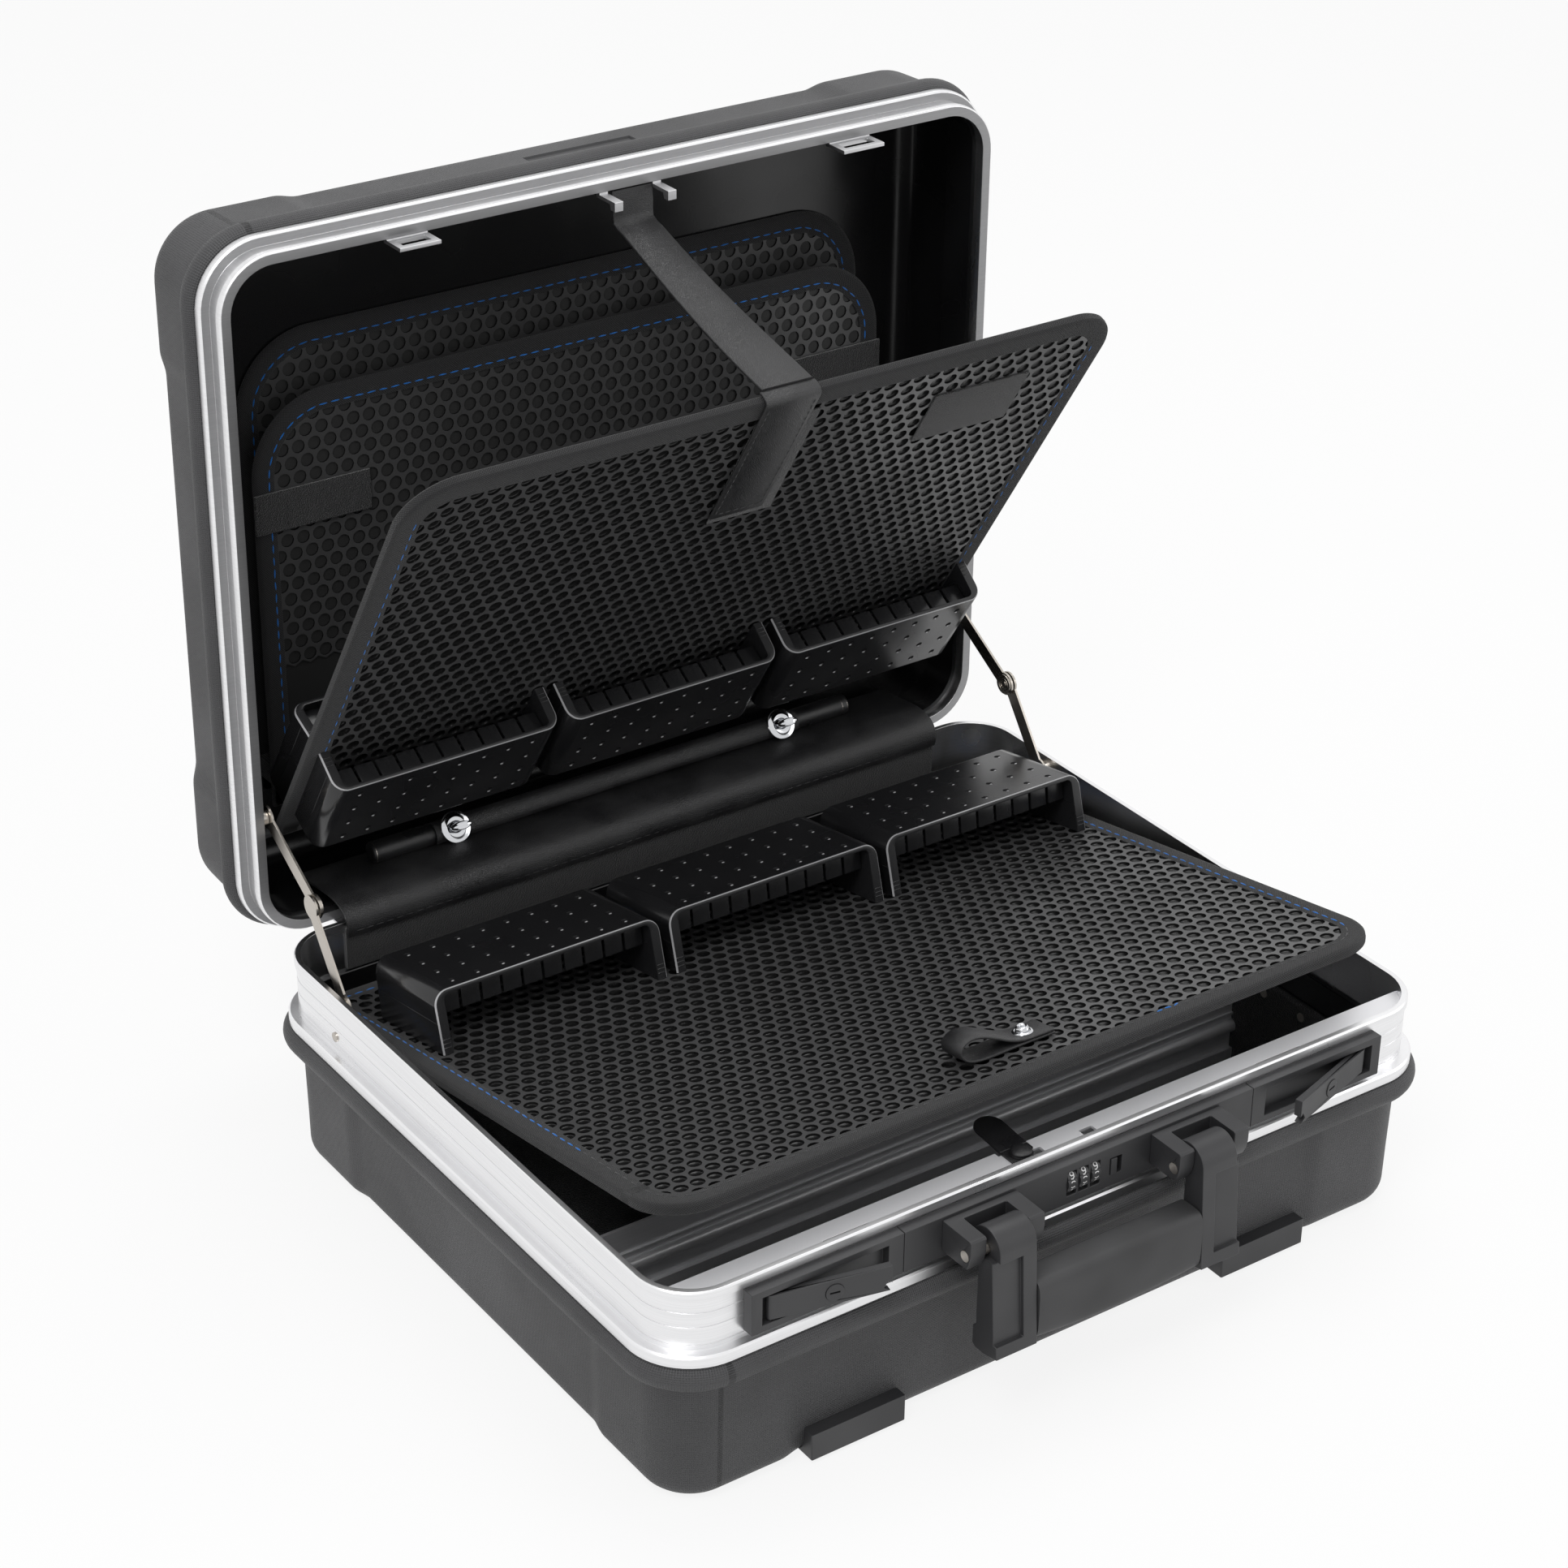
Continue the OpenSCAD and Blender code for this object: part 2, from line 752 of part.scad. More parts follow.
module stay_upper_links() {
    color(nickel)
        both_sides() {
            stay_link(stay_upper_x, stay_lid_y, stay_lid_z, elbow_y, elbow_z,
                      stay_pin_r + pin_clearance);
            translate([0, elbow_y, elbow_z])
                rod_x(stay_upper_x - stay_disc_t, stay_upper_x, stay_eye_r - 0.7);
        }
}
module stay_pivots_lid() {
    color(nickel)
        both_sides()
            translate([0, stay_lid_y, stay_lid_z]) {
                rod_x(stay_upper_x + stay_t + joint_gap, half_w - face_w, stay_boss_r);
                rod_x(stay_upper_x - 0.2, stay_upper_x + stay_t + joint_gap, stay_pin_r);
                rod_x(stay_upper_x - 1, stay_upper_x - 0.15, stay_boss_r);
            }
}

// Leather snap tab behind the front rim: its root lies on the shelf under a press stud
tab_t = 1.2;
tab_rise = 5;
tab_gap = 0.3;
stud_r = 5.5;
stud_h = 1.6;
tab_fold_y = -half_d + band_inner + shelf_w - 1.7;
stud_y = tab_fold_y - tab_t / 2 - tab_gap - stud_r;
tab_mid_z = shelf_z + 0.1 + tab_t / 2;
module snap_tab() {
    color(leather)
        difference() {
            translate([tab_x - tab_w / 2, -shelf_front + 0.5, tab_mid_z - tab_t / 2])
                cube([tab_w, shelf_front - 0.5 + tab_fold_y - tab_t / 2 - tab_gap, tab_t]);
            claw_slots();
        }
    color(nickel)
        translate([tab_x, stud_y, tab_mid_z + tab_t / 2])
            cylinder(r = stud_r, h = stud_h);
}

// Free end of the tab, which bends down between the shelf and the lower board as the lid closes
module snap_flap() {
    color(leather)
        translate([tab_x, tab_fold_y, tab_mid_z])
            rotate([tab_rise, 0, 0]) {
                rod_x(-tab_w / 2, tab_w / 2, tab_t / 2);
                translate([0, 0, -tab_t / 2])
                    linear_extrude(tab_t) {
                        translate([-tab_w / 2, 0])
                            square([tab_w, tab_reach - tab_w / 2]);
                        translate([0, tab_reach - tab_w / 2])
                            circle(r = tab_w / 2);
                    }
            }
}

// Hook and loop strip on the rear band, where the hinge cover is fastened
cover_half = 193;
cover_strip_t = 1.8;
module cover_strip() {
    color(fabric)
        translate([-cover_half, half_d - band_inner - cover_strip_t, bead_top + shelf_drop + 5])
            cube([2 * cover_half, cover_strip_t, band_h - shelf_drop - 8]);
}

// Ribbed aluminium divider standing on the floor across the base
divider_y = -51;
divider_t = 2;
divider_top = lower_z - lower_travel - board_t / 2 - 4;
rib_r = 4;
module divider_profile() {
    translate([divider_y, wall])
        square([divider_t, divider_top - wall]);
    translate([divider_y - 5, wall])
        square([5 + divider_t, divider_t]);
    translate([divider_y, wall + 34])
        circle(r = rib_r);
    translate([divider_y - 2.5, wall + 9])
        square([3, 11]);
    for (z = [36, 41])
        translate([divider_y - 1.2, wall + z])
            square([1.2, 1.5]);
}
module long_divider() {
    color(metal)
        difference() {
            translate([-base_inner_x, 0, 0])
                rotate([90, 0, 90])
                    linear_extrude(2 * base_inner_x)
                        divider_profile();
            both_sides()
                translate([base_inner_x + 1 - base_edge_r, divider_y - far / 2, 0])
                    cube([base_edge_r, far, base_edge_r + 0.5]);
        }
}

// The lower board swings about an axis behind the case: the point its curved ribs are drawn round
swing_reach = 1 / (2 * tan(lower_tilt / 2));
swing_y = lower_y + lower_shift / 2 + lower_travel * swing_reach;
swing_z = lower_z - lower_travel / 2 + lower_shift * swing_reach;
swing_r = norm([swing_y - lower_y, swing_z - lower_z]);
swing_a = 180 + atan((swing_z - lower_z) / (swing_y - lower_y));
swing_facets = 240;

// Part of a flat ring round that axis: half width w at radius r, from a0 to a1 mm below the board's pivot
module ring_part(x0, x1, r, w, a0, a1) {
    translate([0, swing_y, swing_z])
        intersection() {
            difference() {
                rod_x(x0, x1, r + w, $fn = swing_facets);
                rod_x(x0 - 1, x1 + 1, r - w, $fn = swing_facets);
            }
            rotate([90, 0, 90])
                linear_extrude(x1)
                    polygon([[0, 0],
                             for (way = [a0, a1])
                                 let(a = swing_a + way / r * 180 / PI)
                                     2 * r * [cos(a), sin(a)]]);
        }
}

// Curved ribs on the base's side walls, two on each side with a runner between them
guide_w = 4;
guide_out = 2.6;
guide_y0 = 16;
guide_y1 = 56;
runner_w = 14;
runner_len = 38;
lower_pin_r = 2;
module board_guides() {
    color(black)
        both_sides()
            for (side = [-1, 1])
                ring_part(base_inner_x - guide_out, base_inner_x,
                          swing_r + side * (runner_w / 2 + joint_gap + guide_w / 2), guide_w / 2,
                          guide_y0, guide_y1);
}

// Runners that slide between the ribs and carry the lower board on their pins
module board_runners() {
    color(black)
        both_sides() {
            translate([0, lower_y, lower_z]) {
                rod_x(lower_half, base_inner_x - joint_gap, runner_w / 2);
                rod_x(lower_half - pivot_seat, lower_half, lower_pin_r);
            }
            ring_part(lower_half + joint_gap, base_inner_x - joint_gap, swing_r, runner_w / 2,
                      0, runner_len);
        }
}

// Lid shell: tray turned upside down, its bead, and a bare recess for a badge
module lid_shell() {
    color(charcoal)
        on_lid()
            difference() {
                union() {
                    translate([0, 0, lid_z(lid_h)])
                        mirror([0, 0, 1])
                            tray(lid_out, lid_h - lid_bead_top + 1, lid_edge_r, lid_out - draft - foot_wall);
                    around_rim()
                        bead_profile(lid_z(lid_bead_n), -8);
                }
                translate([-badge_w / 2, -half_d - far + badge_depth - lid_out + draft / 2,
                           lid_z(lid_bead_top + 1)])
                    cube([badge_w, far, badge_h]);
            }
}

// Lid rim: aluminium band with a flat front face, a lip and a foot flange
face_t = 4;
module lid_band_profile() {
    polygon([rim_point(-face_w, lid_z(rim_gap)), rim_point(-edge_break, lid_z(rim_gap)),
             rim_point(0, lid_z(rim_gap + edge_break)), rim_point(0, lid_z(lip_h)),
             rim_point(-lip_out, lid_z(lip_h)), rim_point(-lip_out, lid_z(lid_band_h - flange_h)),
             rim_point(flange_out - 1, lid_z(lid_band_h - flange_h)),
             rim_point(flange_out, lid_z(lid_band_h - flange_h + 1)),
             rim_point(flange_out, lid_z(lid_band_h)), rim_point(-band_inner, lid_z(lid_band_h)),
             rim_point(-band_inner, lid_z(face_t)), rim_point(-face_w, lid_z(face_t))]);
}
module lid_frame() {
    color(metal)
        on_lid()
            around_rim()
                lid_band_profile();
}

// Catches that drop into the front shelf: a plate with a window, on a foot at the lid's rim
catch_reach = 13;
catch_top = 3.5;
catch_window_h = 7;
catch_rail = 3.5;
module lid_catches() {
    color(metal)
        on_lid()
            for (c = catch_x) {
                difference() {
                    translate([c[0], lid_y(catch_s) - catch_t / 2, lid_z(-catch_reach)])
                        cube([c[1] - c[0], catch_t, catch_reach + catch_top]);
                    translate([c[0] + catch_rail, lid_y(catch_s) - catch_t,
                               lid_z(-catch_reach + catch_rail)])
                        cube([c[1] - c[0] - 2 * catch_rail, 2 * catch_t, catch_window_h]);
                }
                translate([c[0], lid_y(case_d - face_w), lid_z(rim_gap)])
                    cube([c[1] - c[0], case_d - face_w - catch_s, catch_top - rim_gap]);
            }
}
claw_reach = 14;
module lid_claws() {
    color(metal)
        on_lid()
            both_sides()
                translate([claw_x - claw_w / 2, lid_y(case_d - face_w), lid_z(0)])
                    rotate([90, 0, 90])
                        linear_extrude(claw_w)
                            polygon([[0, rim_gap], [0, face_t], [3, face_t], [3, -claw_reach + 5],
                                     [claw_depth, -claw_reach + 4], [claw_depth, -claw_reach],
                                     [1, -claw_reach], [1, rim_gap]]);
}

// A pocket board in the closed lid: round top corners towards the front
pocket_foot = 46;
module pocket_board(half, top, n) {
    r_top = 45;
    translate([0, 0, lid_z(n)])
        linear_extrude(pocket_t)
            difference() {
                translate([-half, lid_y(top)])
                    square([2 * half, top - pocket_foot]);
                for (m = [0, 1])
                    mirror([m, 0])
                        difference() {
                            translate([half - r_top, lid_y(top) - 1])
                                square([r_top + 1, r_top + 1]);
                            translate([half - r_top, lid_y(top) + r_top])
                                circle(r = r_top);
                        }
            }
}
pocket_rear_n = lid_inner_top - pocket_t;
pocket_front_n = pocket_rear_n - pocket_gap - pocket_t;
module pocket_board_rear() {
    color(fabric)
        on_lid()
            pocket_board(pocket_rear_half, pocket_rear_top, pocket_rear_n);
}
module pocket_board_front() {
    color(fabric)
        on_lid() {
            pocket_board(pocket_front_half, pocket_front_top, pocket_front_n);
            translate([-pocket_rear_half, lid_y(pocket_foot + 12), lid_z(pocket_front_n + pocket_t)])
                cube([2 * pocket_rear_half, 12, pocket_gap]);
        }
}
pocket_strap_t = 1.4;
pocket_strap_w = 22;
pocket_strap_len = 67;
pocket_strap_s = 206;
module pocket_straps() {
    color(fabric)
        on_lid()
            both_sides()
                translate([pocket_front_half - pocket_strap_len, lid_y(pocket_strap_s + pocket_strap_w),
                           lid_z(pocket_front_n - pocket_strap_t)])
                    cube([pocket_strap_len, pocket_strap_w, pocket_strap_t]);
}

// Leather cover over the hinge side of the lid, with a rod along its crown and a strap over the rod
cover_points = [[6.2, 4.2], [10, 0.8], [12.5, 0.8], [13.8, 12], [13.8, 28], [6.2, 42]];
rod_half = 156.6;
rod_r = 6.3;
rod_s = 20.2;
rod_n = 20.5;
strap_t = 1.5;
module hinge_cover() {
    color(leather)
        on_lid()
            translate([-cover_half, 0, 0])
                rotate([90, 0, 90])
                    linear_extrude(2 * cover_half)
                        polygon([for (p = cover_points) [lid_y(p[0]), lid_z(p[1])]]);
}
module cover_rod() {
    color(leather)
        on_lid()
            translate([0, lid_y(rod_s), lid_z(rod_n)])
                rod_x(-rod_half, rod_half, rod_r);
}
turnlock_x = 107.3;
turnlock_lean = 31.5;
strap_half = turnlock_x + 12;
strap_in_r = rod_r + 0.1;
strap_keep = 2.5;
module rod_strap() {
    color(leather)
        on_lid()
            translate([-strap_half, lid_y(rod_s), lid_z(rod_n)])
                rotate([90, 0, 90])
                    linear_extrude(2 * strap_half)
                        difference() {
                            circle(r = strap_in_r + strap_t);
                            circle(r = strap_in_r);
                            rotate(-turnlock_lean)
                                translate([-far, -strap_keep])
                                    square([2 * far, far]);
                        }
}

// Places its children on the strap's crown at a turn-lock, with +Z pointing off the strap
module at_turnlock(x) {
    on_lid()
        translate([x, lid_y(rod_s), lid_z(rod_n)])
            rotate([180 - turnlock_lean, 0, 0])
                translate([0, 0, strap_in_r + strap_t])
                    children();
}
turnlock_r = 9;
turnlock_pin_r = 1.8;
module turnlock_plates() {
    color(metal)
        for (x = [-turnlock_x, turnlock_x])
            at_turnlock(x)
                difference() {
                    cylinder(r = turnlock_r, h = 1.2);
                    translate([0, 0, 0.4])
                        cylinder(r = turnlock_pin_r + pin_clearance, h = 2);
                }
}
module turnlock_knob(x) {
    color(metal)
        at_turnlock(x) {
            translate([0, 0, 0.5])
                cylinder(r = turnlock_pin_r, h = 6);
            translate([-6, -turnlock_pin_r, 5])
                cube([12, 2 * turnlock_pin_r, 5]);
        }
}
module turnlock_knob_left() {
    turnlock_knob(-turnlock_x);
}
module turnlock_knob_right() {
    turnlock_knob(turnlock_x);
}

// Pivots that carry the upper board on the sides of the lid
pivot_boss_r = 3;
pivot_pin_r = 2;
pivot_seat = 8;
module board_pivots() {
    color(black)
        on_lid()
            both_sides()
                translate([0, lid_y(upper_s), lid_z(upper_n)]) {
                    rod_x(upper_half + joint_gap, half_w - bead_inner, pivot_boss_r);
                    rod_x(upper_half - pivot_seat, upper_half + joint_gap, pivot_pin_r);
                }
}

// A flat board with round corners at its far end, from y0 to y1, centred on z = 0
module tool_board(half, y0, y1, r) {
    translate([0, 0, -board_t / 2])
        linear_extrude(board_t)
            union() {
                translate([-half, y0])
                    square([2 * half, y1 - y0 - r]);
                translate([-half + r, y1 - r - 1])
                    square([2 * (half - r), r + 1]);
                for (x = [-1, 1])
                    translate([x * (half - r), y1 - r])
                        circle(r = r);
            }
}
upper_foot = 5;
module upper_board() {
    color(fabric)
        on_upper()
            difference() {
                tool_board(upper_half, -upper_foot, upper_len, board_corner_r);
                both_sides()
                    rod_x(upper_half - pivot_seat - joint_gap, upper_half + 1, pivot_pin_r + pin_clearance);
            }
}

// Tool holder with its mouth on -Y: a cover on two cheeks and a back, with fingers behind the mouth
holder_w = (2 * holders_half - 2 * holder_gap) / 3;
holder_round = 6;
finger_set = 10;
finger_t = 2;
finger_lift = 3;
finger_slit = 1.6;
finger_seat = 0.6;
module holder_side(h, d) {
    translate([-holder_w / 2, 0, 0])
        rotate([90, 0, 90])
            linear_extrude(holder_w)
                polygon([[0, 0], [d, 0], [d, h], [holder_setback, h]]);
}
module holder_arch(w, h, r, y0, y1) {
    translate([0, y1, 0])
        rotate([90, 0, 0])
            linear_extrude(y1 - y0) {
                translate([-w / 2, 0])
                    square([w, h - r]);
                translate([-w / 2 + r, 0])
                    square([w - 2 * r, h]);
                for (x = [-1, 1])
                    translate([x * (w / 2 - r), h - r])
                        circle(r = r);
            }
}
module holder(h, d) {
    inner_w = holder_w - 2 * cheek_t;
    pitch = inner_w / fingers;
    difference() {
        intersection() {
            holder_side(h, d);
            holder_arch(holder_w, h, holder_round, -1, d + 1);
        }
        translate([0, 0, -1])
            holder_arch(inner_w, h - cover_t + 1, holder_round / 2, -2, d - cover_t);
    }
    difference() {
        translate([-inner_w / 2 - finger_seat, finger_set, finger_lift])
            cube([inner_w + 2 * finger_seat, finger_t, h - cover_t + finger_seat - finger_lift]);
        for (i = [1:fingers - 1])
            translate([-inner_w / 2 + i * pitch - finger_slit / 2, finger_set - 1, 0])
                cube([finger_slit, finger_t + 2, h - cover_t - finger_lift]);
    }
}
module holders(h, d) {
    for (i = [-1:1])
        translate([i * (holder_w + holder_gap), 0, 0])
            holder(h, d);
}
module upper_holders() {
    color(black)
        on_upper()
            translate([0, upper_mouth, board_t / 2])
                rotate([0, 0, 180])
                    holders(upper_holder_h, upper_holder_depth);
}
module rear_holders() {
    color(black)
        on_upper()
            translate([0, upper_mouth, -board_t / 2])
                rotate([180, 0, 0])
                    holders(rear_holder_h, holder_depth);
}

// Hook and loop patches on the front of the upper board
patch_t = 0.8;
module board_patches() {
    color(fabric)
        on_upper() {
            translate([-14, upper_len - 99, board_t / 2])
                cube([39, 83, patch_t]);
            translate([104, upper_len - 73, board_t / 2])
                cube([61, 38, patch_t]);
        }
}

// The support strap: its end on the board's face, and its free span from the lid to the board's edge
support_w = 33;
support_x = -15;
support_lay = 94;
support_t = 1.6;
module board_strap() {
    color(leather)
        on_upper() {
            translate([support_x, upper_len - support_lay, board_t / 2 + patch_t])
                cube([support_w, support_lay + support_t, support_t]);
            translate([support_x, upper_len, -board_t / 2])
                cube([support_w, support_t, board_t + patch_t]);
        }
}

// Open-lid position of a point given on the closed lid or on the leaning upper board
function opened(y, z) = [hinge_y + (y - hinge_y) * cos(lid_open) + (z - hinge_z) * sin(lid_open),
                         hinge_z - (y - hinge_y) * sin(lid_open) + (z - hinge_z) * cos(lid_open)];
function on_board(t, f) = opened(lid_y(upper_s) - t * cos(upper_lean) + f * sin(upper_lean),
                                 lid_z(upper_n) - t * sin(upper_lean) - f * cos(upper_lean));
anchor_s = case_d - face_w - 18;
anchor_w = 24;
module support_strap() {
    start = opened(lid_y(anchor_s), lid_z(0));
    end = on_board(upper_len + 2 * support_t, -board_t / 2 - 1);
    length = norm(end - start);
    color(leather) {
        translate([support_x + support_w / 2, start[0], start[1]])
            rotate([atan2(end[1] - start[1], end[0] - start[0]), 0, 0])
                translate([-anchor_w / 2, 1, 0])
                    cube([anchor_w, length - 1, support_t]);
        on_lid()
            translate([support_x + (support_w - anchor_w) / 2, lid_y(case_d - face_w), lid_z(1)])
                cube([anchor_w, case_d - face_w - anchor_s + 2, support_t]);
    }
}

// Places its children on the raised lower board: the pivot is the origin, +Z points off its top
module on_lower() {
    translate([0, lower_y, lower_z])
        rotate([-lower_tilt, 0, 0])
            children();
}
module lower_board() {
    color(fabric)
        on_lower()
            difference() {
                translate([0, (lower_back - lower_front) / 2, -board_t / 2])
                    linear_extrude(board_t)
                        rounded(2 * lower_half, lower_back + lower_front, board_corner_r / 2);
                both_sides()
                    rod_x(lower_half - pivot_seat - joint_gap, lower_half + 1, lower_pin_r + pin_clearance);
            }
}
module lower_holders() {
    color(black)
        on_lower()
            translate([0, -lower_mouth, board_t / 2])
                holders(holder_h, holder_depth);
}

// Pull loop on the front of the lower board, with an eyelet through its end
loop_w = 16;
loop_r = 7;
loop_x0 = -34;
loop_x1 = 24;
loop_y = -261.4;
loop_t = 1.6;
eyelet_r = 5;
eyelet_x = 10;
module pull_loop() {
    on_lower()
        translate([0, loop_y, board_t / 2]) {
            color(leather)
                translate([0, loop_w / 2, 0])
                    rotate([90, 0, 0])
                        linear_extrude(loop_w) {
                            translate([loop_x0 + loop_r, loop_r])
                                difference() {
                                    circle(r = loop_r);
                                    circle(r = loop_r - loop_t);
                                    square(2 * loop_r);
                                    mirror([0, 1])
                                        square(2 * loop_r);
                                }
                            translate([loop_x0 + loop_r, 0])
                                square([loop_x1 - loop_x0 - loop_r, loop_t]);
                            polygon([[loop_x0 + loop_r, 2 * loop_r], [loop_x0 + loop_r, 2 * loop_r - loop_t],
                                     [loop_x1 - 14, loop_t], [loop_x1, loop_t], [loop_x1, 2 * loop_t],
                                     [loop_x1 - 13, 2 * loop_t]]);
                        }
            color(metal)
                translate([eyelet_x, 0, 2 * loop_t])
                    cylinder(r = eyelet_r, h = 3);
        }
}

// Handle: two arms on the brackets' pins with a broad grip between them
arm_x0 = bracket_in + cheek_w + joint_gap;
arm_front = barrel_r;
arm_back = 1.5;
arm_lean = 4;
arm_heel = 3.5;
arm_step = 3;
arm_neck = 3.5;
panel_w = 16.5;
panel_in = 2.5;
panel_h = 45;
module arm_side() {
    circle(r = barrel_r);
    polygon([[-arm_front, 0], [-arm_front - arm_lean, -handle_len + 2], [-arm_front + 5, -handle_len],
             [1, -handle_len], [arm_heel, -handle_len + 2], [arm_heel, -handle_len + 12],
             [arm_back, -handle_len + 14], [arm_back, 0]]);
}
module handle_frame() {
    color(black)
        both_sides()
            difference() {
                translate([arm_x0, handle_y, handle_z])
                    rotate([90, 0, 90])
                        linear_extrude(arm_w)
                            arm_side();
                translate([0, handle_y, handle_z])
                    rod_x(arm_x0 - 1, arm_x0 + arm_w + 1, handle_pin_r + pin_clearance);
                translate([arm_x0 + arm_w - arm_step, handle_y - far / 2, handle_z - arm_neck])
                    cube([far, far, far]);
                translate([arm_x0 + arm_w - panel_w, handle_y, handle_z])
                    rotate([90, 0, 90])
                        linear_extrude(panel_w + 1)
                            polygon([[-arm_front - arm_lean - 5, -arm_neck],
                                     [-arm_front + panel_in - 0.3, -arm_neck],
                                     [-arm_front - arm_lean + panel_in, -panel_h - arm_neck],
                                     [-arm_front - arm_lean - 5, -panel_h - arm_neck]]);
            }
}
grip_h = 35.5;
grip_drop = 22;
grip_back = 5;
module handle_grip() {
    color(black)
        translate([-arm_x0, handle_y, handle_z])
            rotate([90, 0, 90])
                linear_extrude(2 * arm_x0) {
                    r = 7;
                    for (y = [-arm_front - arm_lean + r, grip_back - r],
                         z = [-grip_drop - r, -grip_drop - grip_h + r])
                        translate([y, z])
                            circle(r = r);
                    translate([-arm_front - arm_lean + r, -grip_drop - grip_h])
                        square([arm_front + arm_lean + grip_back - 2 * r, grip_h]);
                    translate([-arm_front - arm_lean, -grip_drop - grip_h + r])
                        square([arm_front + arm_lean + grip_back, grip_h - 2 * r]);
                }
}

// A latch lever and its key cylinder for the right side, turned open about the pivot
key_at = 31;
module turned_lever(angle) {
    translate([lever_pivot_x, lever_pivot_y, dial_z])
        rotate([0, 0, angle])
            children();
}
module latch_lever(angle) {
    color(black)
        turned_lever(angle)
            difference() {
                union() {
                    translate([0, 0, -lever_h / 2])
                        cylinder(r = lever_knuckle_r, h = lever_h);
                    translate([-lever_len, -lever_knuckle_r, -lever_h / 2])
                        cube([lever_len, lever_t, lever_h]);
                }
                translate([0, 0, -lever_h])
                    cylinder(r = lever_pin_r + pin_clearance, h = 2 * lever_h);
                translate([-key_at, 0, 0])
                    rod_y(-lever_knuckle_r - 1, lever_t, key_r + pin_clearance);
                translate([-lever_len - 1, -lever_knuckle_r - 1, -lever_h / 2 - 1])
                    rotate([0, -30, 0])
                        cube([6, lever_t + 2, 4]);
            }
}
module key_cylinder(angle) {
    color(black)
        turned_lever(angle)
            translate([-key_at, 0, 0])
                difference() {
                    rod_y(-lever_knuckle_r - 0.4, lever_t - lever_knuckle_r - 0.2, key_r);
                    translate([-2.6, -lever_knuckle_r - 1, -0.5])
                        cube([5.2, 2.4, 1]);
                }
}
module latch_lever_right() {
    latch_lever(lever_open_right);
}
module latch_lever_left() {
    mirror([1, 0, 0])
        latch_lever(lever_open_left);
}
module key_cylinder_right() {
    key_cylinder(lever_open_right);
}
module key_cylinder_left() {
    mirror([1, 0, 0])
        key_cylinder(lever_open_left);
}

// Number dials, each with ten finger grooves
module dial(i) {
    color(black)
        translate([(i - 2) * dial_pitch, dial_y, dial_z])
            difference() {
                rod_x(-dial_w / 2, dial_w / 2, dial_r);
                rod_x(-dial_w, dial_w, dial_axle_r + pin_clearance);
                for (k = [0:9])
                    rotate([k * 36 + 18, 0, 0])
                        translate([0, dial_r + 0.5, 0])
                            rod_x(-dial_w, dial_w, 1);
            }
}
module dial_1() {
    dial(1);
}
module dial_2() {
    dial(2);
}
module dial_3() {
    dial(3);
}
module release_slide() {
    color(black)
        translate([slide_x - slide_w / 2, lock_face_y - 0.5, dial_z - slide_h / 2])
            cube([slide_w, slide_depth + 0.5, slide_h]);
}

base_shell();
base_frame();
frame_rivets();
wall_rivets();
front_feet();
front_shelf();
lock_strip();
lock_housing_left();
lock_housing_right();
lock_backs();
combination_case();
dial_axle();
handle_brackets();
handle_pins();
hinge_leaf_base();
hinge_pin();
stay_pivots_base();
snap_tab();
snap_flap();
cover_strip();
long_divider();
board_guides();
lid_shell();
lid_frame();
hinge_leaf_lid();
stay_pivots_lid();
lid_catches();
lid_claws();
pocket_board_rear();
pocket_board_front();
pocket_straps();
hinge_cover();
cover_rod();
rod_strap();
turnlock_plates();
board_pivots();
support_strap();
turnlock_knob_left();
turnlock_knob_right();
upper_board();
upper_holders();
rear_holders();
board_patches();
board_strap();
lower_board();
lower_holders();
pull_loop();
board_runners();
handle_frame();
handle_grip();
latch_lever_left();
latch_lever_right();
key_cylinder_left();
key_cylinder_right();
dial_1();
dial_2();
dial_3();
release_slide();
stay_lower_links();
stay_upper_links();
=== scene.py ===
"""Hard tool case with its lid open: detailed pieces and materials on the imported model."""
from math import atan2, copysign, cos, hypot, pi, radians as rad, sin

import bmesh
import bpy
from mathutils import Matrix, Vector


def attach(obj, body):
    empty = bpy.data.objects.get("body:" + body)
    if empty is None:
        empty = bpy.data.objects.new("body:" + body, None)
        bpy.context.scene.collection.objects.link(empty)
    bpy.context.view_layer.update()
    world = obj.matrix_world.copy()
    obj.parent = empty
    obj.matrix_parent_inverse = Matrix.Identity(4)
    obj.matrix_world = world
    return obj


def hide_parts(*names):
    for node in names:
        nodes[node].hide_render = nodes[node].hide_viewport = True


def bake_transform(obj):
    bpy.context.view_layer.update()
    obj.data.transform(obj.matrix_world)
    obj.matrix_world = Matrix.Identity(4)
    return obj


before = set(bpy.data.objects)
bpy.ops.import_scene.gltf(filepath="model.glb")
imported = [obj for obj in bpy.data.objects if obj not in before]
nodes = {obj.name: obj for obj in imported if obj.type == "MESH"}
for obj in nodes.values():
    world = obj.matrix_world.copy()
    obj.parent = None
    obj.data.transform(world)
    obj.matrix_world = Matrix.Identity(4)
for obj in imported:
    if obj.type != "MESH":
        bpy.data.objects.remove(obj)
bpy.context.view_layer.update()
MM = 0.001

# Main sizes of the case in millimetres
HALF_W = 233.0
HALF_D = 188.0
CORNER_R = 30.0
RIM_Z = 124.0
LID_H = 75.0
HINGE_Y = 190.5
HINGE_Z = 114.0
ZONE_LEN = 72.0
ZONE_STEP = 2.5
ZONE_RAMP = 14.0


def moved(x, y, z):
    return Matrix.Translation((x, y, z))


def turned(angle, axis):
    return Matrix.Rotation(rad(angle), 4, axis)


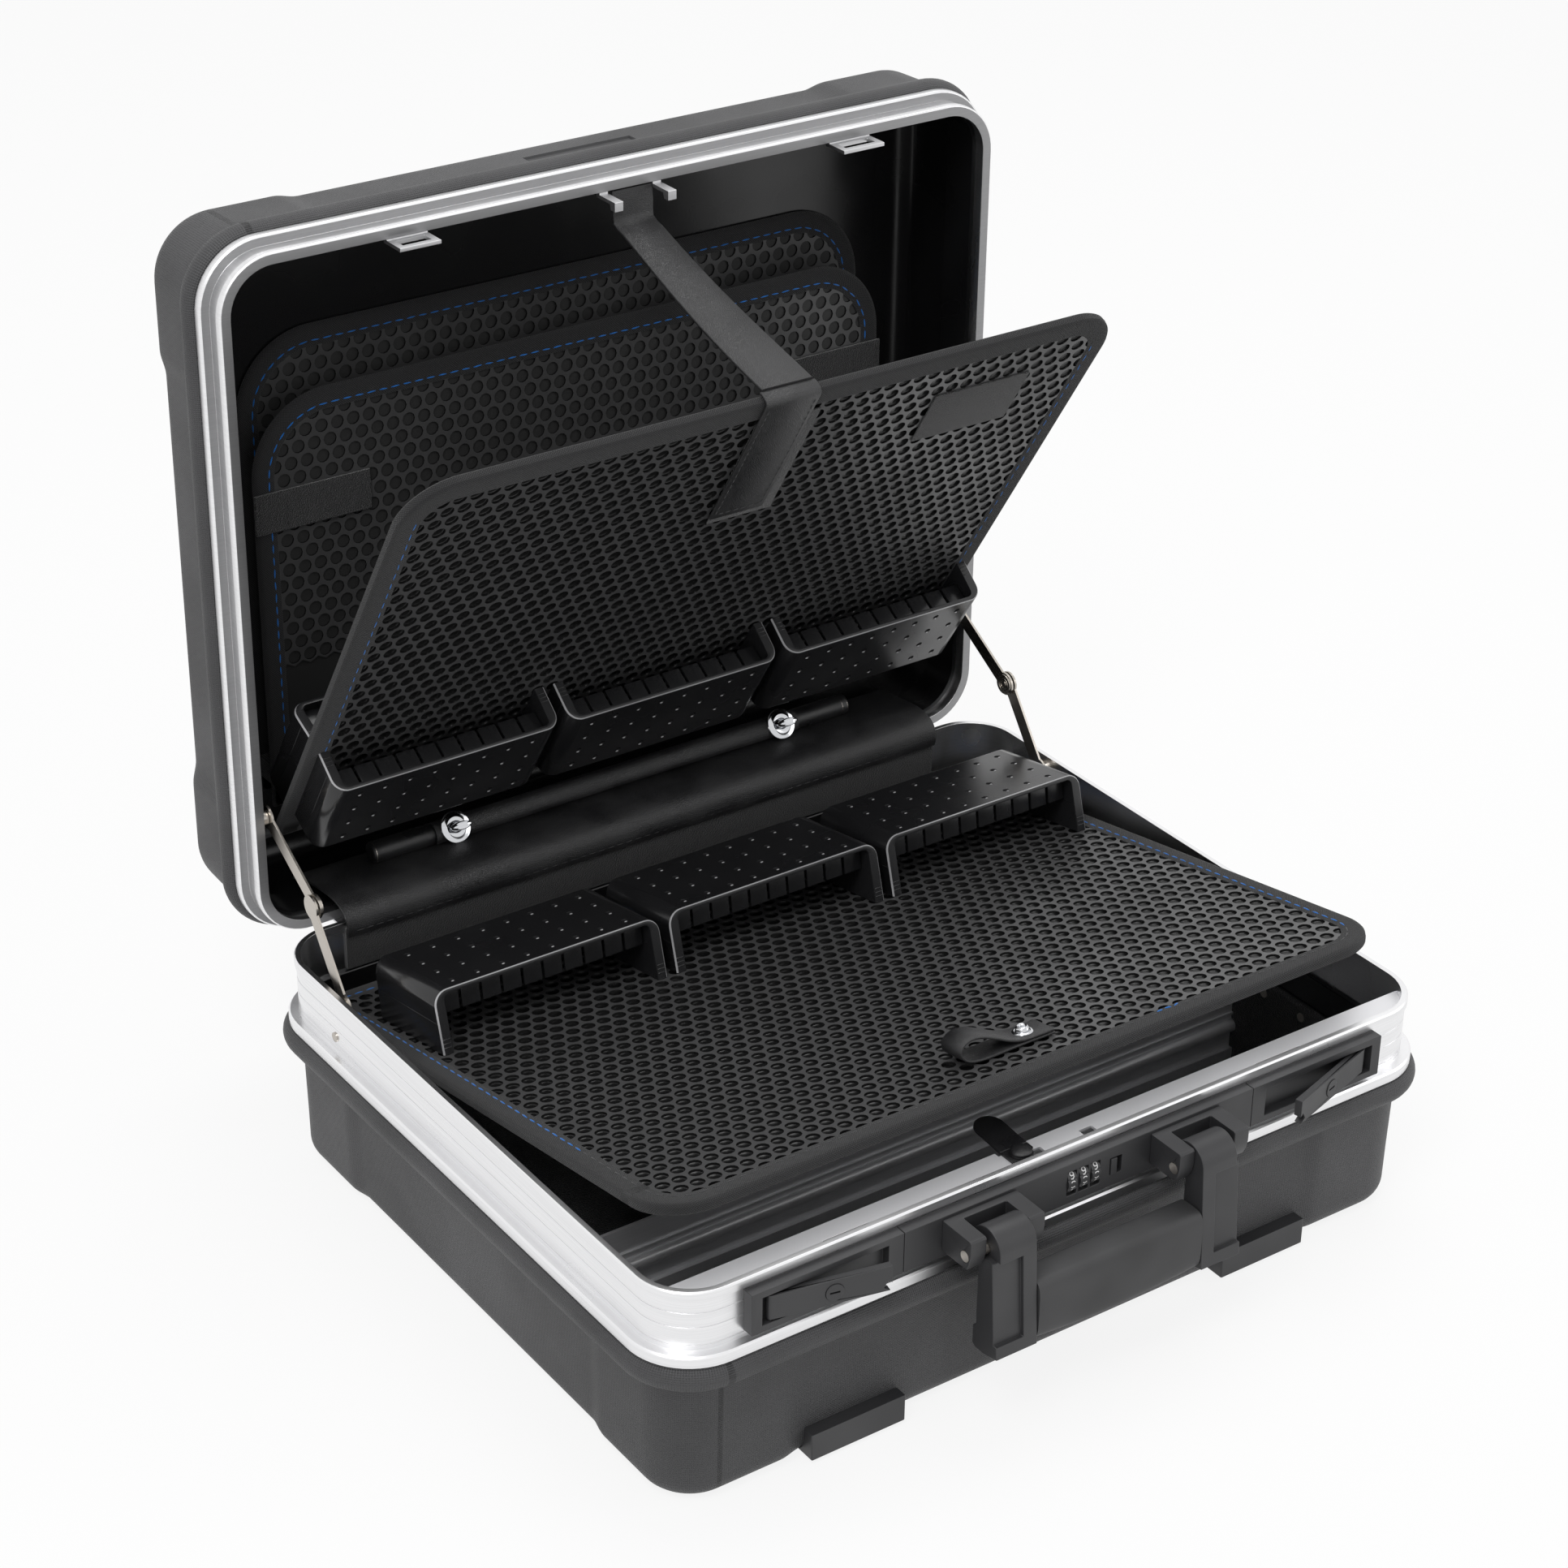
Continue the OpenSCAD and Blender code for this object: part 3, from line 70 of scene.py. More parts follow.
# Frames: closed lid, leaning upper board and raised lower board
LID = moved(0, HINGE_Y, HINGE_Z) @ turned(-90, "X") @ moved(0, -HINGE_Y, -HINGE_Z)
UPPER = LID @ moved(0, HALF_D - 53.6, RIM_Z + 18.5) @ turned(212, "X")
UPPER_BACK = UPPER @ turned(180, "Y")
LOWER = moved(0, 130, 98.4) @ turned(-10.25, "X")
ROOT = Matrix.Identity(4)


def lid_plane(n):
    """Frame of a board in the lid: x across, y away from the hinge, z into the room."""
    return LID @ moved(0, HALF_D, RIM_Z + n) @ turned(180, "X")


# Material helpers
def new_mat(name, color, rough, metal=0.0, **sockets):
    mat = bpy.data.materials.new(name)
    mat.use_nodes = True
    b = mat.node_tree.nodes["Principled BSDF"]
    b.inputs["Base Color"].default_value = (*color, 1)
    b.inputs["Roughness"].default_value = rough
    b.inputs["Metallic"].default_value = metal
    for key, value in sockets.items():
        b.inputs[key.replace("_", " ")].default_value = value
    return mat


def add_node(mat, kind, **values):
    n = mat.node_tree.nodes.new("ShaderNode" + kind)
    for key, value in values.items():
        if key in n.inputs:
            n.inputs[key].default_value = value
        else:
            setattr(n, key, value)
    return n


def link(mat, a, b):
    mat.node_tree.links.new(a, b)


def coords(mat, kind="Object", scale=(1, 1, 1)):
    tc = add_node(mat, "TexCoord")
    mp = add_node(mat, "Mapping", Scale=scale)
    link(mat, tc.outputs[kind], mp.inputs["Vector"])
    return mp.outputs["Vector"]


def noise(mat, vec, scale, detail=3.0, rough=0.55):
    n = add_node(mat, "TexNoise", Scale=scale, Detail=detail, Roughness=rough)
    link(mat, vec, n.inputs["Vector"])
    return n.outputs["Fac"]


def ramp(mat, fac, lo, hi, p0=0.35, p1=0.65):
    """Colour or value from lo to hi where fac goes from p0 to p1."""
    r = add_node(mat, "ValToRGB")
    e = r.color_ramp.elements
    e[0].position, e[1].position = p0, p1
    e[0].color = (*lo, 1) if hasattr(lo, "__len__") else (lo, lo, lo, 1)
    e[1].color = (*hi, 1) if hasattr(hi, "__len__") else (hi, hi, hi, 1)
    link(mat, fac, r.inputs["Fac"])
    return r.outputs["Color"]


def maths(mat, op, a, b=None):
    n = add_node(mat, "Math", operation=op)
    for i, v in enumerate((a, b)):
        if v is None:
            continue
        if isinstance(v, (int, float)):
            n.inputs[i].default_value = v
        else:
            link(mat, v, n.inputs[i])
    return n.outputs[0]


def wave(mat, vec, scale, direction="X", distort=0.0):
    w = add_node(mat, "TexWave", wave_type="BANDS", bands_direction=direction, Scale=scale,
                 Distortion=distort, Detail=1.0)
    link(mat, vec, w.inputs["Vector"])
    return w.outputs["Fac"]


def bump(mat, height, dist, strength):
    b = add_node(mat, "Bump", Distance=dist, Strength=strength)
    link(mat, height, b.inputs["Height"])
    return b.outputs["Normal"]


def to_surface(mat, color, rough, normal):
    b = mat.node_tree.nodes["Principled BSDF"]
    for key, value in (("Base Color", color), ("Roughness", rough), ("Normal", normal)):
        if value is not None:
            link(mat, value, b.inputs[key])
    return mat


def grained(name, lo, hi, rough_lo, rough_hi, grain, depth, metal=0.0, strength=0.6, **sockets):
    """Moulded plastic or rubber: fine grain, faint colour drift and uneven gloss."""
    m = new_mat(name, hi, rough_hi, metal, **sockets)
    v = coords(m)
    drift = noise(m, v, 18, 2)
    fine = noise(m, v, grain, 2)
    return to_surface(m, ramp(m, drift, lo, hi), ramp(m, drift, rough_hi, rough_lo),
                      bump(m, fine, depth, strength))


def hatched(name, lo, hi):
    """Shell plastic with a fine crossed hatch that follows the shell's own UV directions."""
    m = new_mat(name, hi, 0.5, 0.0, Specular_IOR_Level=0.45)
    uv = coords(m, "UV")
    v = coords(m)
    a = wave(m, uv, 290, "X")
    b = wave(m, uv, 290, "Y")
    cross = maths(m, "MULTIPLY", a, b)
    pits = noise(m, v, 1700, 2)
    height = maths(m, "ADD", cross, maths(m, "MULTIPLY", pits, 0.5))
    tone = noise(m, v, 12, 3)
    n = bump(m, height, 0.00042, 0.95)
    return to_surface(m, ramp(m, tone, lo, hi), ramp(m, tone, 0.56, 0.47), n)


def brushed(name, color, rough_lo, rough_hi, lines=900, metal=1.0, depth=0.000012):
    """Satin metal: very fine lines along the piece and a faint drift of its gloss."""
    m = new_mat(name, color, rough_lo, metal)
    v = coords(m, "Object", (6, 6, lines))
    line = noise(m, v, 2.0, 3, 0.6)
    drift = noise(m, coords(m), 9, 2)
    lo = tuple(c * 0.93 for c in color)
    return to_surface(m, ramp(m, line, lo, color), ramp(m, drift, rough_lo, rough_hi, 0.3, 0.7),
                      bump(m, line, depth, 0.5))


def leather(name, lo, hi, rough_lo, rough_hi, scale=1100, depth=0.00016):
    m = new_mat(name, hi, rough_hi, 0.0, Specular_IOR_Level=0.5)
    v = coords(m)
    cells = add_node(m, "TexVoronoi", feature="DISTANCE_TO_EDGE")
    cells.inputs["Scale"].default_value = scale
    warp = noise(m, v, 260, 2)
    link(m, v, cells.inputs["Vector"])
    crease = ramp(m, cells.outputs["Distance"], 0.0, 1.0, 0.0, 0.22)
    soft = noise(m, v, 45, 3)
    height = maths(m, "ADD", crease, maths(m, "MULTIPLY", warp, 0.8))
    n = bump(m, height, depth, 0.7)
    return to_surface(m, ramp(m, soft, lo, hi), ramp(m, soft, rough_lo, rough_hi), n)


def woven(name, lo, hi, pitch, depth, rough=0.9, sheen=0.25):
    """Fabric whose threads follow the piece's UV directions."""
    m = new_mat(name, hi, rough, 0.0, Sheen_Weight=sheen, Sheen_Roughness=0.4, Specular_IOR_Level=0.25)
    uv = coords(m, "UV")
    k = 1.0 / pitch / 3.2
    a = wave(m, uv, k, "X", 0.6)
    b = wave(m, uv, k, "Y", 0.6)
    weave = maths(m, "ABSOLUTE", maths(m, "SUBTRACT", a, b))
    fibre = noise(m, coords(m), 5200, 2)
    height = maths(m, "ADD", weave, maths(m, "MULTIPLY", fibre, 0.7))
    return to_surface(m, ramp(m, height, lo, hi, 0.25, 1.1), None, bump(m, height, depth, 0.8))


def fuzzy(name, lo, hi):
    """Hook and loop pile: dense short tufts."""
    m = new_mat(name, hi, 0.95, 0.0, Sheen_Weight=0.5, Sheen_Roughness=0.35, Specular_IOR_Level=0.2)
    v = coords(m)
    tufts = add_node(m, "TexVoronoi")
    tufts.inputs["Scale"].default_value = 1400
    link(m, v, tufts.inputs["Vector"])
    fibre = noise(m, v, 4200, 4, 0.7)
    height = maths(m, "ADD", tufts.outputs["Distance"], fibre)
    return to_surface(m, ramp(m, height, lo, hi, 0.5, 1.3), None, bump(m, height, 0.0007, 0.9))


SHELL = hatched("shell_plastic", (0.050, 0.050, 0.052), (0.064, 0.064, 0.067))
SHELL_FLOOR = grained("shell_underside", (0.045, 0.045, 0.047), (0.06, 0.06, 0.062), 0.5, 0.62, 1500, 0.0002)
ALU = brushed("satin_aluminium", (0.86, 0.86, 0.87), 0.24, 0.34)
ALU_BRIGHT = brushed("bright_aluminium", (0.82, 0.82, 0.84), 0.34, 0.42, 1400, 0.4)
RIM_ALU = brushed("rim_aluminium", (0.30, 0.30, 0.305), 0.3, 0.42, 900, 0.7)
# Light grey for the outer edge of the holders' lip and for the beads by their dots: a painted highlight
HOLDER_EDGE_HIGHLIGHT = grained("holder_edge_painted_highlight", (0.36, 0.36, 0.37), (0.48, 0.48, 0.49), 0.25, 0.35, 900, 0.00002)
LINING = grained("lid_lining", (0.005, 0.005, 0.0055), (0.009, 0.009, 0.0095), 0.2, 0.3, 900, 0.00004)
FELT = fuzzy("felt_lining", (0.006, 0.006, 0.007), (0.02, 0.02, 0.022))
BLACK = grained("black_plastic", (0.022, 0.022, 0.024), (0.034, 0.034, 0.036), 0.4, 0.5, 2600, 0.00006)
GRIP = grained("grip_rubber", (0.030, 0.030, 0.031), (0.042, 0.042, 0.044), 0.55, 0.66, 2200, 0.00009)
HOLDER = grained("holder_plastic", (0.010, 0.010, 0.011), (0.016, 0.016, 0.017), 0.2, 0.3, 1300, 0.00003,
                 strength=0.4)
BOARD = grained("board_foil", (0.050, 0.050, 0.051), (0.066, 0.066, 0.067), 0.38, 0.5, 1500, 0.00003)
BOARD_DISC = grained("board_disc", (0.004, 0.004, 0.004), (0.007, 0.007, 0.007), 0.2, 0.28, 700, 0.00002,
                     Specular_IOR_Level=0.4)
BOARD_CORE = grained("board_core", (0.012, 0.012, 0.012), (0.02, 0.02, 0.02), 0.6, 0.75, 900, 0.0001)
PIPING = woven("piping_fabric", (0.010, 0.010, 0.0105), (0.040, 0.040, 0.0415), 0.0013, 0.0004, 0.92, 0.15)
WEBBING = woven("ribbed_webbing", (0.012, 0.012, 0.013), (0.035, 0.035, 0.037), 0.0013, 0.0004)
VELCRO = fuzzy("hook_and_loop", (0.006, 0.006, 0.006), (0.030, 0.030, 0.031))
LEATHER = leather("black_leather", (0.014, 0.014, 0.015), (0.026, 0.026, 0.027), 0.34, 0.5)
SMOOTH_LEATHER = leather("smooth_leather", (0.010, 0.010, 0.011), (0.017, 0.017, 0.018), 0.26, 0.4, 1500,
                         0.00006)
NICKEL = brushed("dark_nickel", (0.50, 0.465, 0.42), 0.24, 0.36, 500)
CHROME = brushed("chrome", (0.62, 0.63, 0.65), 0.08, 0.14, 500)
STEEL = brushed("hinge_steel", (0.62, 0.62, 0.63), 0.28, 0.4, 700)
THREAD_BLUE = woven("blue_thread", (0.004, 0.10, 0.42), (0.012, 0.22, 0.72), 0.0006, 0.00015, 0.6, 0.4)
THREAD_BLACK = woven("black_thread", (0.02, 0.02, 0.021), (0.055, 0.055, 0.057), 0.0006, 0.00015, 0.7, 0.4)
DIGIT = grained("digit_paint", (0.68, 0.68, 0.68), (0.8, 0.8, 0.8), 0.4, 0.5, 3000, 0.00001)


# Mesh helpers: sizes in millimetres, placed by a frame matrix
# A face with this many corners is a wide flat cap: shaded flat, its UVs taken from x and y
WIDE_CAP = 60


def new_object(name, data):
    o = bpy.data.objects.new(name, data)
    bpy.context.scene.collection.objects.link(o)
    return o


def piece(name, verts, faces, mat, body, m=ROOT, uvs=None, angle=35, replaces=(), second=None, which=None):
    me = bpy.data.meshes.new(name)
    me.from_pydata([(m @ Vector(v)) * MM for v in verts], [], faces)
    if uvs:
        layer = me.uv_layers.new(name="uv")
        for p in me.polygons:
            flat = verts if len(p.vertices) >= WIDE_CAP else uvs
            for li, vi in zip(p.loop_indices, p.vertices):
                layer.data[li].uv = (flat[vi][0] * MM, flat[vi][1] * MM)
    me.polygons.foreach_set("use_smooth", [len(p.vertices) < WIDE_CAP for p in me.polygons])
    me.set_sharp_from_angle(angle=rad(angle))
    me.materials.append(mat)
    if second:
        me.materials.append(second)
        me.polygons.foreach_set("material_index", which)
    o = new_object(name, me)
    if body:
        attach(o, body)
    if replaces:
        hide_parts(*replaces)
    return o


class Bag:
    """Collects many small forms into one mesh."""

    def __init__(self):
        self.v, self.f, self.uv, self.which = [], [], [], []

    def add(self, verts, faces, uvs=None, m=None, which=None):
        k = len(self.v)
        self.which += which if which else [0] * len(faces)
        self.v += [tuple(m @ Vector(p)) for p in verts] if m is not None else [tuple(p) for p in verts]
        self.f += [[i + k for i in f] for f in faces]
        self.uv += uvs if uvs else [(p[0], p[1]) for p in verts]

    def piece(self, name, mat, body, m=ROOT, **kw):
        if kw.get("second"):
            kw["which"] = self.which
        return piece(name, self.v, self.f, mat, body, m, self.uv, **kw)


def grid_faces(rows, cols, closed_rows=False, closed_cols=False, skip=None):
    out = []
    for i in range(rows if closed_rows else rows - 1):
        for j in range(cols if closed_cols else cols - 1):
            if skip and skip(i, j):
                continue
            i2, j2 = (i + 1) % rows, (j + 1) % cols
            out.append([i * cols + j, i2 * cols + j, i2 * cols + j2, i * cols + j2])
    return out


def dist(a, b):
    return hypot(b[0] - a[0], b[1] - a[1])


def share_way(a, b, t):
    """The point (x, y) at share t of the way from a to b."""
    return (a[0] + (b[0] - a[0]) * t, a[1] + (b[1] - a[1]) * t)


def lengths(line):
    """Length along a line at each of its points."""
    out = [0.0]
    for a, b in zip(line, line[1:]):
        out.append(out[-1] + dist(a, b))
    return out


def circle(n):
    """Cosine and sine at n even steps of a turn."""
    return [(cos(2 * pi * i / n), sin(2 * pi * i / n)) for i in range(n)]


def tube_faces(rows, cols, flip_ends=False):
    """Faces of a tube of closed rings, with both its ends closed."""
    ends = [list(range(cols)), [(rows - 1) * cols + i for i in reversed(range(cols))]]
    return grid_faces(rows, cols, False, True) + [end[::-1] if flip_ends else end for end in ends]


def smoothstep(t):
    t = min(max(t, 0.0), 1.0)
    return t * t * (3 - 2 * t)


def zone(d):
    """1 in a corner zone, 0 in the middle of a side; d is the distance from the rim's corner."""
    return 1 - smoothstep((d - ZONE_LEN + ZONE_RAMP / 2) / ZONE_RAMP)


def stations(r, extra=(), steps=16):
    """Points round a rim, counter-clockwise from the front left corner: centre, normal, length, zone."""
    out = []
    sides = [((0, -1), (1, 0), HALF_W), ((1, 0), (0, 1), HALF_D),
             ((0, 1), (-1, 0), HALF_W), ((-1, 0), (0, -1), HALF_D)]
    s = 0.0
    for k, (n, t, half) in enumerate(sides):
        run = half - r
        across = HALF_D if k % 2 == 0 else HALF_W
        marks = {-run, run, 0.0}
        for e in range(7):
            q = half - ZONE_LEN + ZONE_RAMP * (e / 6 - 0.5)
            marks |= {q, -q}
        if k == 0:
            marks |= set(extra)
        if k == 2:
            marks |= {-q for q in extra}
        for q in sorted(v for v in marks if abs(v) <= run + 1e-6):
            c = (n[0] * (across - r) + t[0] * q, n[1] * (across - r) + t[1] * q)
            out.append((c, n, s + q + run, zone(half - abs(q)), k, q))
        s += 2 * run
        n2 = sides[(k + 1) % 4][0]
        c = (n[0] * (across - r) + t[0] * run, n[1] * (across - r) + t[1] * run)
        for e in range(1, steps):
            a = rad(90) * e / steps
            m = (n[0] * cos(a) + n2[0] * sin(a), n[1] * cos(a) + n2[1] * sin(a))
            out.append((c, m, s + r * a, 1.0, 4 + k, 0.0))
        s += r * rad(90)
    return out


def ring_sweep(name, prof, mat, body, m=ROOT, extra=(), skip=None, cap=None, **kw):
    """Carries a profile of (out, z, zone weight) round the rim's outline; cap closes one end of it."""
    st = stations(CORNER_R, extra)
    verts, uvs = [], []
    for c, n, s, z, _, _ in st:
        for (out, h, w), v in zip(prof, lengths(prof)):
            d = CORNER_R + out + w * z * ZONE_STEP
            verts.append((c[0] + n[0] * d, c[1] + n[1] * d, h))
            uvs.append((s, v))
    left_out = (lambda i, j: skip(st[i], st[(i + 1) % len(st)], j)) if skip else None
    faces = grid_faces(len(st), len(prof), True, False, left_out)
    if cap == "first":
        faces.append([i * len(prof) for i in reversed(range(len(st)))])
    if cap == "last":
        faces.append([i * len(prof) + len(prof) - 1 for i in range(len(st))])
    return piece(name, verts, faces, mat, body, m, uvs, **kw)


def arc(cx, cz, r, a0, a1, n, w=0.0, rz=None):
    """Profile points on an arc from angle a0 to a1 in degrees."""
    rz = r if rz is None else rz
    turns = [rad(a0 + (a1 - a0) * i / n) for i in range(n + 1)]
    return [(cx + r * cos(a), cz + rz * sin(a), w) for a in turns]


def corners(box, radii):
    """Rounded corners of a rectangle from the front left: centre, radius and outward signs."""
    x0, x1, y0, y1 = box
    places = ((x0, y0, -1, -1), (x1, y0, 1, -1), (x1, y1, 1, 1), (x0, y1, -1, 1))
    return [(x - r * sx, y - r * sy, r, sx, sy) for (x, y, sx, sy), r in zip(places, radii)]


def rounded_path(box, radii, inset, least, step=6.0):
    """Closed path with normals, inset in a rectangle with four corner radii."""
    box = (box[0] + inset, box[1] - inset, box[2] + inset, box[3] - inset)
    pts = []
    for (cx, cy, r, _, _), a0 in zip(corners(box, [max(r - inset, least) for r in radii]), (180, 270, 0, 90)):
        n = max(3, int(r * pi / 2 / 3.0))
        for i in range(n + 1):
            a = rad(a0 + 90 * i / n)
            pts.append((cx + r * cos(a), cy + r * sin(a), cos(a), sin(a)))
    out = []
    for i, p in enumerate(pts):
        q = pts[(i + 1) % len(pts)]
        out.append(p)
        n = int(dist(p, q) / step)
        for e in range(1, n):
            t = e / n
            out.append(tuple(a + (b - a) * t for a, b in zip(p, q)))
    return out


def path_sweep(name, path, prof, mat, body, m, **kw):
    """Carries a profile of (out, up) along a closed path of points with normals."""
    verts, uvs = [], []
    for (x, y, nx, ny), s in zip(path, lengths(path)):
        l = hypot(nx, ny)
        for (o, u), v in zip(prof, lengths(prof)):
            verts.append((x + nx / l * o, y + ny / l * o, u))
            uvs.append((s, v))
    return piece(name, verts, grid_faces(len(path), len(prof), True, True), mat, body, m, uvs, **kw)


def capsule(bag, p, q, r, up=Vector((0, 0, 1))):
    """A short round-ended thread from p to q."""
    p, q = Vector(p), Vector(q)
    t = (q - p).normalized()
    side = t.cross(up).normalized()
    top = side.cross(t)
    verts, length = [], (q - p).length
    stops = ((0.0, 0.15), (0.18, 0.75), (0.4, 1.0), (0.6, 1.0), (0.82, 0.75), (1.0, 0.15))
    for along, k in stops:
        for c, s in circle(6):
            verts.append(p + t * length * along + side * c * r * k + top * s * r * k)
    bag.add([tuple(v) for v in verts], tube_faces(len(stops), 6))


def dash_row(bag, start, end, step, length, r, **kw):
    """Thread dashes of one length from start towards end, one per step."""
    start, end = Vector(start), Vector(end)
    way = (end - start).normalized()
    at = 0.0
    while at < (end - start).length - 1e-4:
        p = start + way * at
        capsule(bag, p, p + way * length, r, **kw)
        at += step


def resample(pts, step):
    """Points at even steps along a closed path."""
    out, carry = [pts[0]], step
    for a, b in zip(pts, pts[1:] + pts[:1]):
        d = dist(a, b)
        while carry <= d:
            out.append(share_way(a, b, carry / d))
            carry += step
        carry -= d
    return out


def thread_round(name, path, z, mat, body, m, inset, keep, r, length=5, gap=2):
    """Thread dashes that follow a closed path, inset along its normals."""
    pts = resample([(x - nx * inset, y - ny * inset) for x, y, nx, ny in path], 1.0)
    bag = Bag()
    for k, i in enumerate(range(0, len(pts) - length, length + gap)):
        a, b = pts[i], pts[i + length]
        if keep(*share_way(a, b, 0.5)):
            w = 0.12 * sin(k * 2.7)
            capsule(bag, (a[0] + w, a[1] + w, z), (b[0] - w, b[1] - w, z), r)
    bag.piece(name, mat, body, m)


def lathe(bag, prof, m, seg=32, closed=True):
    """Turned form: (radius, height) points about the frame's Z."""
    verts = [(r * c, r * s, z) for r, z in prof for c, s in circle(seg)]
    faces = tube_faces(len(prof), seg) if closed else grid_faces(len(prof), seg, False, True)
    bag.add(verts, [f[::-1] for f in faces], None, m)


def add_bmesh(bag, bm, m=None):
    bm.verts.ensure_lookup_table()
    bag.add([tuple(v.co) for v in bm.verts], [[v.index for v in f.verts] for f in bm.faces], None, m)
    bm.free()


def round_box(bag, size0, size1, r, m=None, seg=3):
    """Box between two corners with rounded edges."""
    bm = bmesh.new()
    bmesh.ops.create_cube(bm, size=1)
    for v in bm.verts:
        v.co = Vector([a + (b - a) * (c + 0.5) for a, b, c in zip(size0, size1, v.co)])
    bmesh.ops.bevel(bm, geom=list(bm.edges), offset=r, segments=seg, profile=0.5, affect="EDGES")
    add_bmesh(bag, bm, m)


def prism(bag, pts, z0, z1):
    """Polygon drawn in XY, extruded along Z."""
    bm = bmesh.new()
    a = [bm.verts.new((x, y, z0)) for x, y in pts]
    b = [bm.verts.new((x, y, z1)) for x, y in pts]
    bm.faces.new(a[::-1])
    bm.faces.new(b)
    for i in range(len(pts)):
        j = (i + 1) % len(pts)
        bm.faces.new((a[i], a[j], b[j], b[i]))
    bmesh.ops.recalc_face_normals(bm, faces=bm.faces)
    add_bmesh(bag, bm)


def smooth_line(pts, n):
    """Catmull-Rom line through points."""
    out = []
    for i in range(len(pts) - 1):
        p = [Vector(pts[min(max(i + d, 0), len(pts) - 1)]) for d in (-1, 0, 1, 2)]
        for e in range(n):
            t = e / n
            out.append(0.5 * ((2 * p[1]) + (p[2] - p[0]) * t + (2 * p[0] - 5 * p[1] + 4 * p[2] - p[3]) * t * t
                              + (3 * p[1] - p[0] - 3 * p[2] + p[3]) * t ** 3))
    return out + [Vector(pts[-1])]


def strip(bag, pts, widths, thick, across=Vector((1, 0, 0)), edge=0.35):
    """A flat strap that follows a line of points, with softly rounded edges."""
    line = [Vector(p) for p in pts]
    verts, uvs, s = [], [], 0.0
    for i, p in enumerate(line):
        t = (line[min(i + 1, len(line) - 1)] - line[max(i - 1, 0)]).normalized()
        n = across.cross(t).normalized()
        if i:
            s += (p - line[i - 1]).length
        w = (widths[i] if hasattr(widths, "__len__") else widths) / 2
        h = thick / 2
        e = min(edge, h)
        for u, v in ((-w + e, h), (w - e, h), (w, h - e), (w, -h + e),
                     (w - e, -h), (-w + e, -h), (-w, -h + e), (-w, h - e)):
            verts.append(p + across * u + n * v)
            uvs.append((s, u))
    bag.add([tuple(v) for v in verts], tube_faces(len(line), 8, True), uvs)


def dress(node, mat, width=0.35, seg=2):
    """Gives a CAD node its material and softly rounded edges."""
    o = nodes[node]
    if not o.material_slots:
        o.data.materials.append(mat)
    for s in o.material_slots:
        s.material = mat
    o.data.polygons.foreach_set("use_smooth", [True] * len(o.data.polygons))
    weld = o.modifiers.new("weld", "WELD")
    weld.merge_threshold = 0.00001
    b = o.modifiers.new("bevel", "BEVEL")
    b.width = width * MM
    b.segments = seg
    b.limit_method = "ANGLE"
    b.angle_limit = rad(32)
    b.use_clamp_overlap = True
    w = o.modifiers.new("normals", "WEIGHTED_NORMAL")
    w.weight = 60
    w.keep_sharp = False
    return o


# Camera at the photograph's viewing angle
CAM_AZ, CAM_EL, CAM_ROLL = rad(-35.35), rad(28.94), rad(0.80)
CAM_PLACE = (-0.931, -1.2533, 1.0956)
level = Vector((cos(CAM_AZ), sin(CAM_AZ), 0))
forward = Vector((-level.y * cos(CAM_EL), level.x * cos(CAM_EL), -sin(CAM_EL)))
upward = level.cross(forward)
cam_x = level * cos(CAM_ROLL) + upward * sin(CAM_ROLL)
cam_y = upward * cos(CAM_ROLL) - level * sin(CAM_ROLL)
camera = new_object("camera", bpy.data.cameras.new("camera"))
camera.data.sensor_width = 36
camera.data.lens = 81.77
camera.data.clip_end = 30
camera.matrix_world = moved(*CAM_PLACE) @ Matrix((cam_x, cam_y, -forward)).transposed().to_4x4()
bpy.context.scene.camera = camera
bpy.context.scene.view_settings.view_transform = "Standard"


def area_light(name, place, target, size, power):
    data = bpy.data.lights.new(name, "AREA")
    data.energy = power
    data.size = size
    o = new_object(name, data)
    o.location = place
    o.rotation_euler = (Vector(target) - Vector(place)).to_track_quat("-Z", "Y").to_euler()


area_light("key", (-1.3, -0.9, 2.4), (0, 0, 0.15), 1.1, 26)
area_light("top", (0.6, 0.5, 2.6), (0, 0, 0.1), 1.6, 20)
area_light("fill", (2.2, -1.4, 0.9), (0, 0, 0.15), 1.4, 9)


def any_ray(owner):
    """1 for camera, glossy and transmission rays."""
    rays = add_node(owner, "LightPath").outputs
    seen_by = maths(owner, "MAXIMUM", rays["Is Camera Ray"], rays["Is Glossy Ray"])
    return maths(owner, "MAXIMUM", seen_by, rays["Is Transmission Ray"])


def mixed(owner, fac, plain, shown, output):
    """Shader plain where fac is 0 and shader shown where it is 1."""
    mix = add_node(owner, "MixShader")
    link(owner, fac, mix.inputs["Fac"])
    link(owner, plain.outputs[0], mix.inputs[1])
    link(owner, shown.outputs[0], mix.inputs[2])
    link(owner, mix.outputs[0], owner.node_tree.nodes[output].inputs["Surface"])


# White world: full for the camera and for reflections, dimmer as a source of light
WHITE = (1, 1, 1, 1)
WORLD_LIGHT = 0.52
FLOOR_GLOW = 0.86
world = bpy.data.worlds.new("studio")
bpy.context.scene.world = world
world.use_nodes = True
back = world.node_tree.nodes["Background"]
back.inputs["Color"].default_value = WHITE
back.inputs["Strength"].default_value = WORLD_LIGHT
seen = add_node(world, "Background", Color=WHITE, Strength=1.0)
mixed(world, any_ray(world), back, seen, "World Output")

